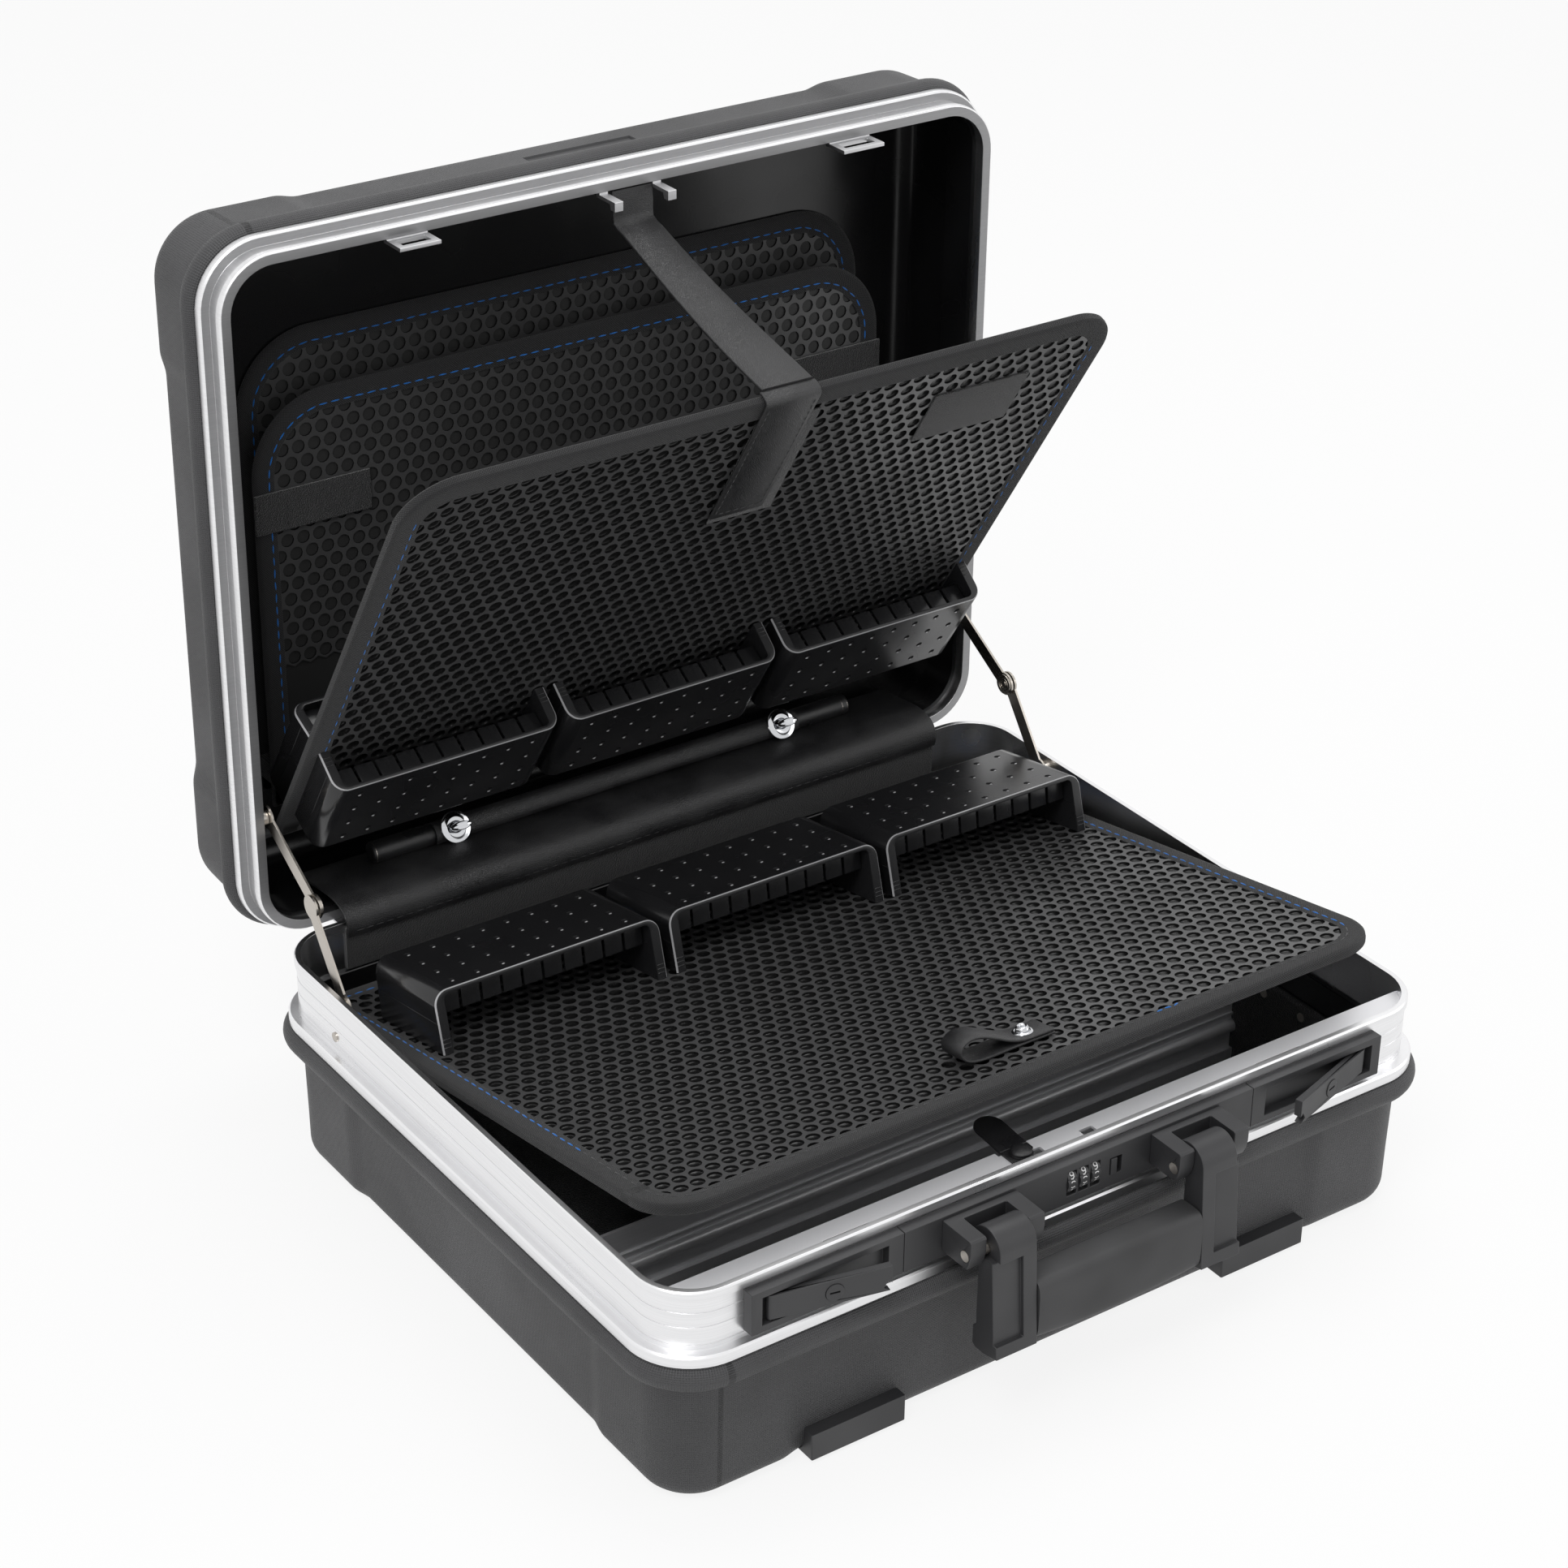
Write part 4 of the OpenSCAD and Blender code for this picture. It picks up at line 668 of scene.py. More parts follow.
# White floor that glows for the camera and keeps the case's shadow
floor_mat = new_mat("floor_white", (0.9, 0.9, 0.9), 0.6)
glow = add_node(floor_mat, "Emission", Color=WHITE, Strength=1.0)
mixed(floor_mat, maths(floor_mat, "MULTIPLY", any_ray(floor_mat), FLOOR_GLOW),
      floor_mat.node_tree.nodes["Principled BSDF"], glow, "Material Output")
floor_me = bpy.data.meshes.new("floor")
floor_me.from_pydata([(-9, -9, 0), (9, -9, 0), (9, 9, 0), (-9, 9, 0)], [], [(0, 1, 2, 3)])
floor_me.materials.append(floor_mat)
new_object("floor", floor_me)

# CAD nodes that keep their shape: material, width of the rounded edges, steps, nodes
CAD_LOOKS = (
    (ALU, 0.3, 2, ("base_frame", "lid_frame")),
    (ALU_BRIGHT, 0.25, 2, ("front_shelf", "long_divider")),
    (BLACK, 0.6, 2, ("lock_strip", "lock_housing_left", "lock_housing_right", "handle_brackets", "front_feet",
                     "lock_backs", "combination_case", "board_guides", "board_runners", "board_pivots")),
    (BLACK, 1.0, 3, ("handle_brackets",)),
    (BLACK, 0.9, 3, ("handle_frame",)),
    (BLACK, 0.35, 2, ("latch_lever_left", "latch_lever_right", "key_cylinder_left", "key_cylinder_right")),
    (BLACK, 0.3, 2, ("release_slide",)),
    (BLACK, 0.15, 2, ("dial_1", "dial_2", "dial_3")),
    (NICKEL, 0.25, 2, ("frame_rivets", "wall_rivets", "handle_pins", "dial_axle", "stay_pivots_base",
                       "stay_pivots_lid", "stay_lower_links", "stay_upper_links")),
    (STEEL, 0.2, 2, ("hinge_leaf_base", "hinge_leaf_lid", "hinge_pin", "lid_catches", "lid_claws")),
    (VELCRO, 0.3, 2, ("cover_strip", "pocket_straps", "board_patches")),
    (SMOOTH_LEATHER, 0.3, 2, ("snap_tab", "snap_flap")),
)
for look, edge_width, edge_steps, looks_on in CAD_LOOKS:
    for name in looks_on:
        dress(name, look, edge_width, edge_steps)

# The face of the lid's rim is darker than its sides
rim = nodes["lid_frame"]
rim.data.materials.append(RIM_ALU)
rim_turn = rim.matrix_world.to_3x3()
for p in rim.data.polygons:
    if (rim_turn @ p.normal).y < -0.9:
        p.material_index = len(rim.data.materials) - 1

# Base shell: one ring from the underside over the wall, the bead and the lip
FOOT_OUT = -5.5
WALL_TOP = 69.0
base_prof = ([(FOOT_OUT - 18, 0.0, 1), (FOOT_OUT - 12, 0.0, 1)]
             + arc(FOOT_OUT - 12, 12, 12, -80, 0, 8, 1)
             + [(-5.3, 30, 1), (-4.9, 50, 1), (-4.5, WALL_TOP, 1), (-4.2, 70.3, 1), (-3.4, 71.0, 1)]
             + [(-1.4, 71.05, 0.4)]
             + arc(1.0, 78, 7, -88, 90, 14)
             + [(-3.4, 85, 0)])
ring_sweep("base_skin", base_prof, SHELL, "base", cap="first", replaces=("base_shell",))
IN_BASE = -8.25
base_in = ([(-26.0, 3.3, 0)] + arc(-17.5, 12.5, 17.5 + IN_BASE, -88, 0, 8, 0, 9.0)
           + [(IN_BASE, 40, 0), (IN_BASE, 74.5, 0), (IN_BASE + 0.4, 76.2, 0), (IN_BASE + 1.4, 77.2, 0)])
ring_sweep("base_lining", base_in[::-1], FELT, "base")
lip_in = [(IN_BASE + 1.0, 77.0, 0), (-5.75, 77.4, 0), (-5.75, 94.6, 0), (-5.3, 95.1, 0), (-3.4, 95.1, 0)]
ring_sweep("base_lip", lip_in[::-1], LINING, "base")

# Flat floor inside a tray
FLOOR_INSET, FLOOR_T = 24, 3.3


def inner_floor(name, z, mat, body, m, order):
    x, y = HALF_W - FLOOR_INSET, HALF_D - FLOOR_INSET
    bag = Bag()
    bag.add([(-x, -y, z), (x, -y, z), (x, y, z), (-x, y, z)], [order])
    bag.piece(name, mat, body, m)


inner_floor("base_floor", FLOOR_T, FELT, "base", ROOT, (0, 1, 2, 3))

# Lid shell in the closed lid's place, with the bare badge recess in its front
TOP = RIM_Z + LID_H
REC_Z0, REC_Z1, REC_HALF = RIM_Z + 33.0, RIM_Z + 52.0, 32.5
lid_prof = ([(-16, TOP, 1), (-13, TOP, 1)] + [(p[0], p[1], 1) for p in arc(-13, TOP - 13, 13, 82, 0, 8)]
            + [(0.3, REC_Z1, 1), (0.6, (REC_Z0 + REC_Z1) / 2, 1), (1.0, REC_Z0, 1), (1.4, 156.5, 0.8)]
            + [(2.0, 156.0, 0.3)]
            + arc(1.0, 149, 7, 82, -90, 14) + [(-3.4, 142.0, 0)])
rec_row = 2 + 8 + 1


def badge_skip(a, b, j):
    return a[4] == 0 and b[4] == 0 and abs((a[5] + b[5]) / 2) < REC_HALF and rec_row <= j <= rec_row + 1


ring_sweep("lid_skin", lid_prof[::-1], SHELL, "lid", LID, extra=(-REC_HALF, REC_HALF), cap="last",
           skip=lambda a, b, j: badge_skip(a, b, len(lid_prof) - 2 - j), replaces=("lid_shell",))
badge = Bag()
REC_SLOPE, REC_BACK = 0.6, -HALF_D + 0.9
REC_FACE = ((REC_Z0, -HALF_D - 1.0, REC_SLOPE), (REC_Z1, -HALF_D - 0.3, -REC_SLOPE))
recess = []
for inset, flat in ((0.0, False), (REC_SLOPE, True)):
    for (z, y, dz), ends in zip(REC_FACE, ((-1, 1), (1, -1))):
        recess += [(e * (REC_HALF - inset), REC_BACK if flat else y, z + (dz if flat else 0)) for e in ends]
badge.add(recess, [(0, 1, 5, 4), (1, 2, 6, 5), (2, 3, 7, 6), (3, 0, 4, 7), (4, 5, 6, 7)])
badge.piece("badge_recess", SHELL_FLOOR, "lid", LID)
lid_in = ([(-26.0, TOP - 3.3, 0)] + arc(-15.5, TOP - 12.5, 12.75, 88, 0, 8, 0, 9.2)
          + [(-2.75, 158, 0), (-3.2, 156.8, 0), (-5.75, 156.4, 0), (-5.75, 134.2, 0), (-3.4, 134.0, 0)])
ring_sweep("lid_lining", lid_in, LINING, "lid", LID)
inner_floor("lid_floor", TOP - FLOOR_T, LINING, "lid", LID, (3, 2, 1, 0))

# Dimpled boards
HEX_A, HEX_H = 9.2, 8.4
HEX_TOP = (HEX_H ** 2 + HEX_A ** 2 / 4) / (2 * HEX_H)
HEX_SIDE = (HEX_H ** 2 - HEX_A ** 2 / 4) / (2 * HEX_H)
hexagon = [(0, HEX_TOP), (-HEX_A / 2, HEX_SIDE), (-HEX_A / 2, -HEX_SIDE),
           (0, -HEX_TOP), (HEX_A / 2, -HEX_SIDE), (HEX_A / 2, HEX_SIDE)]


def halved(corners):
    """A closed outline with one more point in the middle of each side."""
    out = []
    for p, q in zip(corners, corners[1:] + corners[:1]):
        out += [p, share_way(p, q, 0.5)]
    return out


def cells(bag, centres, edge, radius, depth, z):
    """A flat sheet with a round flat-bottomed recess in each cell."""
    n = len(edge)
    ang = [atan2(y, x) for x, y in edge]
    rings = ((radius + 0.12, 0.0), (radius - 0.1, -depth * 0.8), (radius - 0.55, -depth))
    for cx, cy in centres:
        verts = [(cx + x, cy + y, z) for x, y in edge]
        for r, h in rings:
            verts += [(cx + r * cos(a), cy + r * sin(a), z + h) for a in ang]
        faces = []
        for k in range(len(rings)):
            for i in range(n):
                j = (i + 1) % n
                faces.append((k * n + i, k * n + j, (k + 1) * n + j, (k + 1) * n + i))
        faces.append(tuple(len(rings) * n + i for i in range(n)))
        bag.add(verts, faces, None, None, [0] * n + [1] * (2 * n + 1))


def in_rounded(x, y, box, radii, inset):
    """Whether a point lies inside a rectangle with four corner radii, by at least inset."""
    x0, x1, y0, y1 = box
    if not (x0 + inset <= x <= x1 - inset and y0 + inset <= y <= y1 - inset):
        return False
    for cx, cy, r, sx, sy in corners(box, radii):
        if (x - cx) * sx > 0 and (y - cy) * sy > 0 and hypot(x - cx, y - cy) > r - inset:
            return False
    return True


DIMPLE_R, DIMPLE_DEPTH, DIMPLE_INSET = 3.6, 1.5, 7.0


def dimples(name, box, radii, z, body, m, phase):
    """A board's face with staggered round dimples."""
    x0, x1, y0, y1 = box
    bag = Bag()
    centres = []
    for row in range(int((y1 - y0) / HEX_H) + 2):
        y = y0 + phase[1] + row * HEX_H
        for col in range(int((x1 - x0) / HEX_A) + 2):
            x = x0 + phase[0] + col * HEX_A + (HEX_A / 2 if row % 2 else 0)
            if in_rounded(x, y, box, radii, DIMPLE_INSET):
                centres.append((x, y))
    cells(bag, centres, halved(hexagon), DIMPLE_R, DIMPLE_DEPTH, z)
    bag.piece(name, BOARD, body, m, second=BOARD_DISC)


def binding(name, box, radii, half_t, width, body, m, face=0.9, inset=0.5, replaces=()):
    """Fabric piping folded round a board's edge."""
    path = rounded_path(box, radii, inset, 1.5)
    top = half_t - 0.02
    upper = [(-width, half_t - face), (-width - 0.3, half_t - 0.25), (-width + 0.6, top), (-width * 0.5, top),
             (-2.6, top), (-1.0, half_t - 0.35), (-0.1, half_t - 1.3)]
    prof = upper + [(0.12, 0)] + [(out, -up) for out, up in reversed(upper)]
    path_sweep(name, path, prof, PIPING, body, m, replaces=replaces)
    return path


def core(name, box, radii, half_t, body, m, inset=2.0):
    """The plate inside a board."""
    path = rounded_path(box, radii, inset, 1.0)
    bag = Bag()
    prism(bag, [(p[0], p[1]) for p in path], -half_t, half_t)
    bag.piece(name, BOARD_CORE, body, m)


# Upper board: dimples on both faces, piping, faint stitches down its sides
BOARD_HALF_T, FACE_Z = 3.0, 2.72
UP_BOX = (-213.0, 213.0, -5.0, 298.0)
UP_R = (3, 3, 30, 30)
core("upper_core", UP_BOX, UP_R, 1.1, "upper_board", UPPER)
up_path = binding("upper_binding", UP_BOX, UP_R, BOARD_HALF_T, 12.5, "upper_board", UPPER,
                  replaces=("upper_board",))
dimples("upper_face", UP_BOX, UP_R, FACE_Z, "upper_board", UPPER, (4.0, 3.0))
dimples("upper_back", UP_BOX, UP_R, FACE_Z, "upper_board", UPPER_BACK, (4.0, 3.0))
thread_round("upper_thread", up_path, 3.0, THREAD_BLUE, "upper_board", UPPER, 10.0,
             lambda x, y: abs(x) > 195 and 20 < y < 275, 0.25, gap=3)

# Lower board: dimples on its face, wide piping, strong blue stitches but for the front, where they are black
LOW_BOX = (-222.0, 222.0, -300.0, 39.0)
LOW_R = (30, 30, 15, 15)
BLUE_END_LEFT, BLUE_END_RIGHT = -216, -278


def is_blue(x, y):
    return y > (BLUE_END_LEFT if x < 0 else BLUE_END_RIGHT)


core("lower_core", LOW_BOX, LOW_R, 1.2, "lower_board", LOWER)
low_path = binding("lower_binding", LOW_BOX, LOW_R, BOARD_HALF_T, 12.0, "lower_board", LOWER,
                   replaces=("lower_board",))
dimples("lower_face", LOW_BOX, LOW_R, FACE_Z, "lower_board", LOWER, (4.4, 3.2))
thread_round("lower_thread", low_path, 3.02, THREAD_BLUE, "lower_board", LOWER, 9.0, is_blue, 0.42)
front = Bag()  # three blue stitches at the front, each a little askew
for k in range(3):
    x, tilt = 75.6 + 5.2 * k, 0.6 * sin(2.3 * k)
    capsule(front, (x, tilt - 289, 3.02), (x + 3.6, -289 - tilt, 3.02), 0.45)
front.piece("front_thread", THREAD_BLUE, "lower_board", LOWER)
thread_round("front_black_thread", low_path, 3.0, THREAD_BLACK, "lower_board", LOWER, 9.0,
             lambda x, y: not is_blue(x, y), 0.35)

# Pocket boards in the lid: distance from the rim, half width, far end, and where dimples and thread start
POCKET_S0, POCKET_T, POCKET_R = 46.0, 1.5, (2, 2, 45, 45)
PF = lid_plane(52.0)
PR_HALF = 195.0
for label, n, half, far, face_s, thread_s in (("front", 52.0, 197.0, 279.0, 120.0, 60),
                                              ("rear", 70.5, PR_HALF, 306.0, 230.0, 225)):
    plane = lid_plane(n)
    box = (-half, half, POCKET_S0, far)
    core("pocket_%s_core" % label, box, POCKET_R, 0.5, "lid", plane)
    edge_path = binding("pocket_%s_binding" % label, box, POCKET_R, POCKET_T, 12.0, "lid", plane, 0.6,
                        replaces=("pocket_board_" + label,))
    dimples("pocket_%s_face" % label, (-half, half, face_s, far), (0, 0, 45, 45), 1.35, "lid", plane,
            (4.2, 3.4))
    thread_round("pocket_%s_thread" % label, edge_path, POCKET_T, THREAD_BLUE, "lid", plane, 9.0,
                 lambda x, y: y > thread_s, 0.4)
gusset = Bag()
round_box(gusset, (-PR_HALF, 58.0, -17.0), (PR_HALF, 70.0, -1.4), 1.0, None, 2)
gusset.piece("pocket_gusset", WEBBING, "lid", PF)

# Tool holders: widths, wall, lip's roundness, dots and fingers
HOLDER_W, HOLDER_PITCH = 133.53, 139.53
SETBACK, CHEEK, COVER = 3.5, 6.0, 2.5
LIP, CROWN_R, CROWN_R_IN = 0.9, 8.0, 3.0
DOT_COLS, DOT_ROWS, DOT_R, DOT_DEPTH = 8, 4, 1.7, 1.2
FINGERS, FINGER_DROP, FINGER_BACK, FINGER_T = 10, 15.5, 10.0, 1.9


def arch_line(w, h, r, n=7):
    """Outline of an arch seen from its mouth, from the right foot over the crown to the left foot."""
    pts = [(w / 2, 0.0), (w / 2, (h - r) * 0.35), (w / 2, (h - r) * 0.7)]
    pts += [(x, z) for x, z, _ in arc(w / 2 - r, h - r, r, 0, 90, n)]
    return pts + [(-x, z) for x, z in reversed(pts)]


def between(line, other, share):
    return [share_way(p, q, share) for p, q in zip(line, other)]


def holder_shell(bag, h, depth, m):
    """Cover and cheeks: rings from the inside over the lip to the back; the outer edge of the lip is light
    grey, a painted highlight.
    """
    out_l = arch_line(HOLDER_W, h, CROWN_R)
    in_l = arch_line(HOLDER_W - 2 * CHEEK, h - COVER, CROWN_R_IN)
    mid = between(out_l, in_l, 0.5)
    slope = SETBACK / h
    # each ring: its line, the line whose height sets it back, how much, and its depth
    rows = ((in_l, in_l, 0, depth - COVER), (in_l, in_l, slope, LIP),
            (between(in_l, mid, 0.15), in_l, slope, 0.2), (mid, mid, slope, -0.02),
            (between(out_l, mid, 0.25), out_l, slope, 0.12), (out_l, out_l, slope, LIP),
            (out_l, out_l, 0, depth - LIP), (between(out_l, mid, 0.2), out_l, 0, depth))
    rings = [[(x, k * h0 + y, z) for (x, z), (_, h0) in zip(line, base)] for line, base, k, y in rows]
    n, lip_highlight_row, cover_row = len(out_l), 4, 5
    crown = n // 2 - 1
    faces = grid_faces(len(rings), n, False, False, lambda k, i: k == cover_row and i == crown)
    faces.append([(len(rings) - 1) * n + i for i in range(n)])
    faces.append(list(range(n))[::-1])
    # the faces at the outer edge of the lip take the second, light grey material: a painted highlight
    bag.add([p for ring in rings for p in ring], faces, None, m, [int(min(f) // n == lip_highlight_row) for f in faces])


def glint(bag, x, y, z, m):
    """A small raised bead on the near edge of a dot, coloured light grey as a painted glint."""
    rings = [[(x + a * c, y + b * s, z + up) for c, s in circle(8)]
             for a, b, up in ((1.0, 0.5, -0.05), (0.55, 0.27, 0.24))]
    faces = grid_faces(2, 8, False, True)
    faces = [[a, d, c, b] for a, b, c, d in faces] + [list(range(8, 16))]
    # every face of the bead takes the second, light grey material: a painted glint
    bag.add(rings[0] + rings[1], faces, None, m, [1] * len(faces))


def holder_form(bag, parts, h, depth, m, glint_side):
    """One tool holder with its mouth on -Y."""
    holder_shell(bag, h, depth, m)
    w = HOLDER_W / 2 - CROWN_R
    y0, y1 = SETBACK + LIP, depth - LIP
    cw, ch = 2 * w / DOT_COLS, (y1 - y0) / DOT_ROWS
    corners = [(-0.5, -0.5), (0, -0.5), (0.5, -0.5), (0.5, 0), (0.5, 0.5), (0, 0.5), (-0.5, 0.5), (-0.5, 0)]
    dots = [(-w + (i + 0.5) * cw, y0 + (j + 0.5) * ch) for i in range(DOT_COLS) for j in range(DOT_ROWS)]
    cover = Bag()
    cells(cover, dots, halved([(x * cw, y * ch) for x, y in corners]), DOT_R, DOT_DEPTH, h)
    bag.add(cover.v, cover.f, None, m)
    # a light grey bead by each dot, a painted glint
    for x, y in dots:
        glint(bag, x, y + DOT_R * glint_side, h, m)
    inner = HOLDER_W - 2 * CHEEK
    for i in range(FINGERS):
        x = -inner / 2 + i * inner / FINGERS
        round_box(parts, (x + 0.7, FINGER_BACK, h - FINGER_DROP),
                  (x + inner / FINGERS - 0.7, FINGER_BACK + FINGER_T, h - COVER + 0.3), 0.55, m, 2)
    # seam at half height and three fine ribs at each cheek's tip
    for s in (-1, 1):
        x = s * HOLDER_W / 2
        lo, hi = sorted((x - s * 0.4, x + s * 0.12))
        round_box(parts, (lo, SETBACK / 2 + 2.0, h * 0.48), (hi, depth - 3, h * 0.48 + 0.5), 0.1, m, 1)
        lo, hi = sorted((x - s * (CHEEK - 0.8), x - s * 0.8))
        for z in (3.0, 5.2, 7.4):
            front = SETBACK * z / h
            round_box(parts, (lo, front - 0.12, z), (hi, front + 0.6, z + 0.7), 0.2, m, 1)


def holder_row(name, node, body, m, h, depth, glint_side):
    bag, parts = Bag(), Bag()
    for i in (-1, 0, 1):
        holder_form(bag, parts, h, depth, m @ moved(i * HOLDER_PITCH, 0, 0), glint_side)
    # second material: the light grey painted highlight on the lip edges and on the beads by the dots
    bag.piece(name, HOLDER, body, ROOT, angle=40, replaces=(node,), second=HOLDER_EDGE_HIGHLIGHT)
    parts.piece(name + "_fingers", HOLDER, body, ROOT, angle=40)


UP_HOLD = UPPER @ moved(0, 76.0, 3.0) @ turned(180, "Z")
REAR_HOLD = UPPER @ moved(0, 76.0, -3.0) @ turned(180, "X")
LOW_HOLD = LOWER @ moved(0, -73.7, 3.0)
holder_row("upper_holder_row", "upper_holders", "upper_board", UP_HOLD, 23.0, 60.0, 1)
holder_row("rear_holder_row", "rear_holders", "upper_board", REAR_HOLD, 27.0, 66.0, 1)
holder_row("lower_holder_row", "lower_holders", "lower_board", LOW_HOLD, 33.0, 66.0, -1)


def torus(bag, big, small, z, m, seg=32, tseg=8):
    verts = []
    for c, s in circle(seg):
        for out, up in circle(tseg):
            d = big + small * out
            verts.append((d * c, d * s, z + small * up))
    bag.add(verts, grid_faces(seg, tseg, True, True), None, m)


# Leather sheet that bows over the hinge from the base's rear wall to the lid
COVER_HALF, COVER_T = 193.0, 1.4
# Its line in the open case, as (y, z) from the base to the lid
bow = [(181.6, 116.5), (180.9, 119.0), (180.6, 122.0), (181.6, 126.5), (184.6, 130.2), (190.0, 132.4),
       (198.0, 133.4), (208.0, 132.6), (218.0, 131.2), (228.0, 130.0), (236.0, 127.6), (241.5, 123.6)]
bow_line = smooth_line([(0, y, z) for y, z in bow], 4)
sheet, sheet_uv = [], []
xs = [-COVER_HALF + 2 * COVER_HALF * i / 48 for i in range(49)]
n_bow = len(bow_line)
for x in xs:
    for side in (1, -1):
        order = range(n_bow) if side > 0 else reversed(range(n_bow))
        for j in order:
            p = bow_line[j]
            t = bow_line[min(j + 1, n_bow - 1)] - bow_line[max(j - 1, 0)]
            t.normalize()
            share = sin(pi * j / (n_bow - 1))
            ripple = (0.35 * sin(x / 23.0) + 0.2 * sin(x / 9.0 + 1.0)) * share
            off = side * COVER_T / 2 + ripple
            sheet.append((x, p.y - t.z * off, p.z + t.y * off))
            sheet_uv.append((x, j * 2.0))
cover = piece("hinge_cover_leather", sheet, tube_faces(len(xs), 2 * n_bow), LEATHER, None, ROOT, sheet_uv, 40,
              ("hinge_cover",))
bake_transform(cover)
edge_thread = Bag()
dash_row(edge_thread, (-188, 180.15, 119.6), (186, 180.15, 119.6), 6.0, 4.2, 0.3, up=Vector((0, 1, 0)))
edge_thread.piece("hinge_cover_thread", THREAD_BLACK, "base")

# Rod rolled in leather, with end rings, and the strap that bows below it between the turn-locks
ROD_HALF, ROD_R = 156.6, 6.3
ry, rz = HALF_D - 20.2, RIM_Z + 20.5
rod_m = LID @ moved(0, ry, rz) @ turned(90, "Y")
rod_bag = Bag()
prof = [(1.2, -ROD_HALF), (4.6, -ROD_HALF), (5.6, -ROD_HALF + 0.5), (ROD_R - 0.1, -ROD_HALF + 1.6)]
prof += [(ROD_R - 0.05 - 0.12 * (1 + sin(z / 17.0)) / 2, z) for z in range(-150, 151, 6)]
prof += [(ROD_R - 0.1, ROD_HALF - 1.6), (5.6, ROD_HALF - 0.5), (4.6, ROD_HALF), (1.2, ROD_HALF)]
lathe(rod_bag, prof, rod_m, 28)
rod_bag.piece("cover_rod_leather", SMOOTH_LEATHER, "lid", angle=50, replaces=("cover_rod",))
rings = Bag()
for s in (-1, 1):
    for q in (1.6, 5.0):
        torus(rings, ROD_R - 0.45, 0.35, s * (ROD_HALF - q), rod_m)
rings.piece("cover_rod_rings", NICKEL, "lid", angle=60)

STRAP_HALF, STRAP_R, LEAN = 119.3, 7.2, 31.5
TURN_X = 107.3
n_x = 60
verts, uvs = [], []
for i in range(n_x + 1):
    x = -STRAP_HALF + 2 * STRAP_HALF * i / n_x
    sag = 1 - smoothstep(abs(x) / (TURN_X - 11))
    for r, a0 in ((STRAP_R + 0.6, 0), (STRAP_R - 0.65, 1)):
        for k in range(9):
            q = k / 8 if not a0 else 1 - k / 8
            a = rad(270 - 58 - LEAN + sag * 16 + (116 - sag * 22) * q)
            d = r - (0.4 if k in (0, 8) and not a0 else 0.0) + (0.25 if k in (0, 8) and a0 else 0.0)
            verts.append((x, ry + d * cos(a), rz + d * sin(a)))
            uvs.append((x, k * 2.0))
piece("rod_strap_leather", verts, tube_faces(n_x + 1, 18), LEATHER, "lid", LID, uvs, 50, ("rod_strap",))

# Turn-locks: round plates and oval knobs in chrome
for side, label in ((-1, "left"), (1, "right")):
    at = (LID @ moved(side * TURN_X, ry, rz) @ turned(180 - LEAN, "X")
          @ moved(0, 0, STRAP_R + 0.7))
    plate = Bag()
    lathe(plate, [(8.9, 0.05), (8.6, 0.5), (7.6, 0.75), (6.1, 0.85), (5.6, 1.15), (3.0, 1.15), (2.2, 0.9),
                  (2.2, 0.1)], at, 40, False)
    lathe(plate, [(8.9, 0.05), (2.2, 0.02)], at, 40, False)
    plate.piece("turnlock_plate_" + label, CHROME, "lid", angle=30,
                replaces=("turnlock_plates",) if side < 0 else ())
    knob = Bag()
    lathe(knob, [(1.75, 0.6), (1.75, 4.4), (2.2, 4.9)], at, 20)
    oval = []
    rows = ((0.82, 4.7), (0.97, 5.2), (1.0, 6.4), (1.0, 8.0), (0.95, 9.2), (0.8, 9.85), (0.45, 10.0))
    for k, z in rows:
        for c, s in circle(32):
            oval.append((6.0 * k * copysign(abs(c) ** 0.9, c), 2.4 * k * s, z))
    knob.add(oval, tube_faces(len(rows), 32, True), None, at)
    knob.piece("turnlock_key_" + label, CHROME, "turnlock_" + label, angle=40,
               replaces=("turnlock_knob_" + label,))

# Support strap from the lid's rim to the upper board, and its end folded over the board
STRAP_W, STRAP_X = 33.0, -15.0
STRAP_MID = STRAP_X + STRAP_W / 2
a = LID @ Vector((STRAP_MID, HALF_D - 352.0, RIM_Z + 0.2))
top = LID @ Vector((STRAP_MID, HALF_D - 369.0, RIM_Z + 1.8))
b = UPPER @ Vector((STRAP_MID, 299.6, -3.6))
pts = [tuple(top), tuple(top.lerp(a, 0.5) + Vector((0, -0.4, 0.3)))]
for i in range(0, 17):
    t = i / 16
    p = a.lerp(b, t)
    p.z -= 3.0 * sin(pi * t)
    pts.append(tuple(p))
line = smooth_line(pts, 2)
widths = [24 + (30 - 24) * smoothstep(i / (len(line) - 1) * 1.15 - 0.1) for i in range(len(line))]
strap = Bag()
strip(strap, line, widths, 1.7)
sup = strap.piece("support_strap_leather", LEATHER, None, angle=50, replaces=("support_strap",))
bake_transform(sup)
fold = Bag()
lay = ((204.2, 3.9), (240, 4.55), (270, 4.6), (292, 4.6), (297.4, 4.5), (299.0, 3.2), (299.3, 1.0),
       (299.3, -1.4), (298.6, -2.9))
strip(fold, smooth_line([(STRAP_MID, y, z) for y, z in lay], 4), STRAP_W - 0.4, 1.6, edge=0.4)
fold.piece("board_strap_leather", LEATHER, "upper_board", UPPER, angle=50, replaces=("board_strap",))
dashes = Bag()
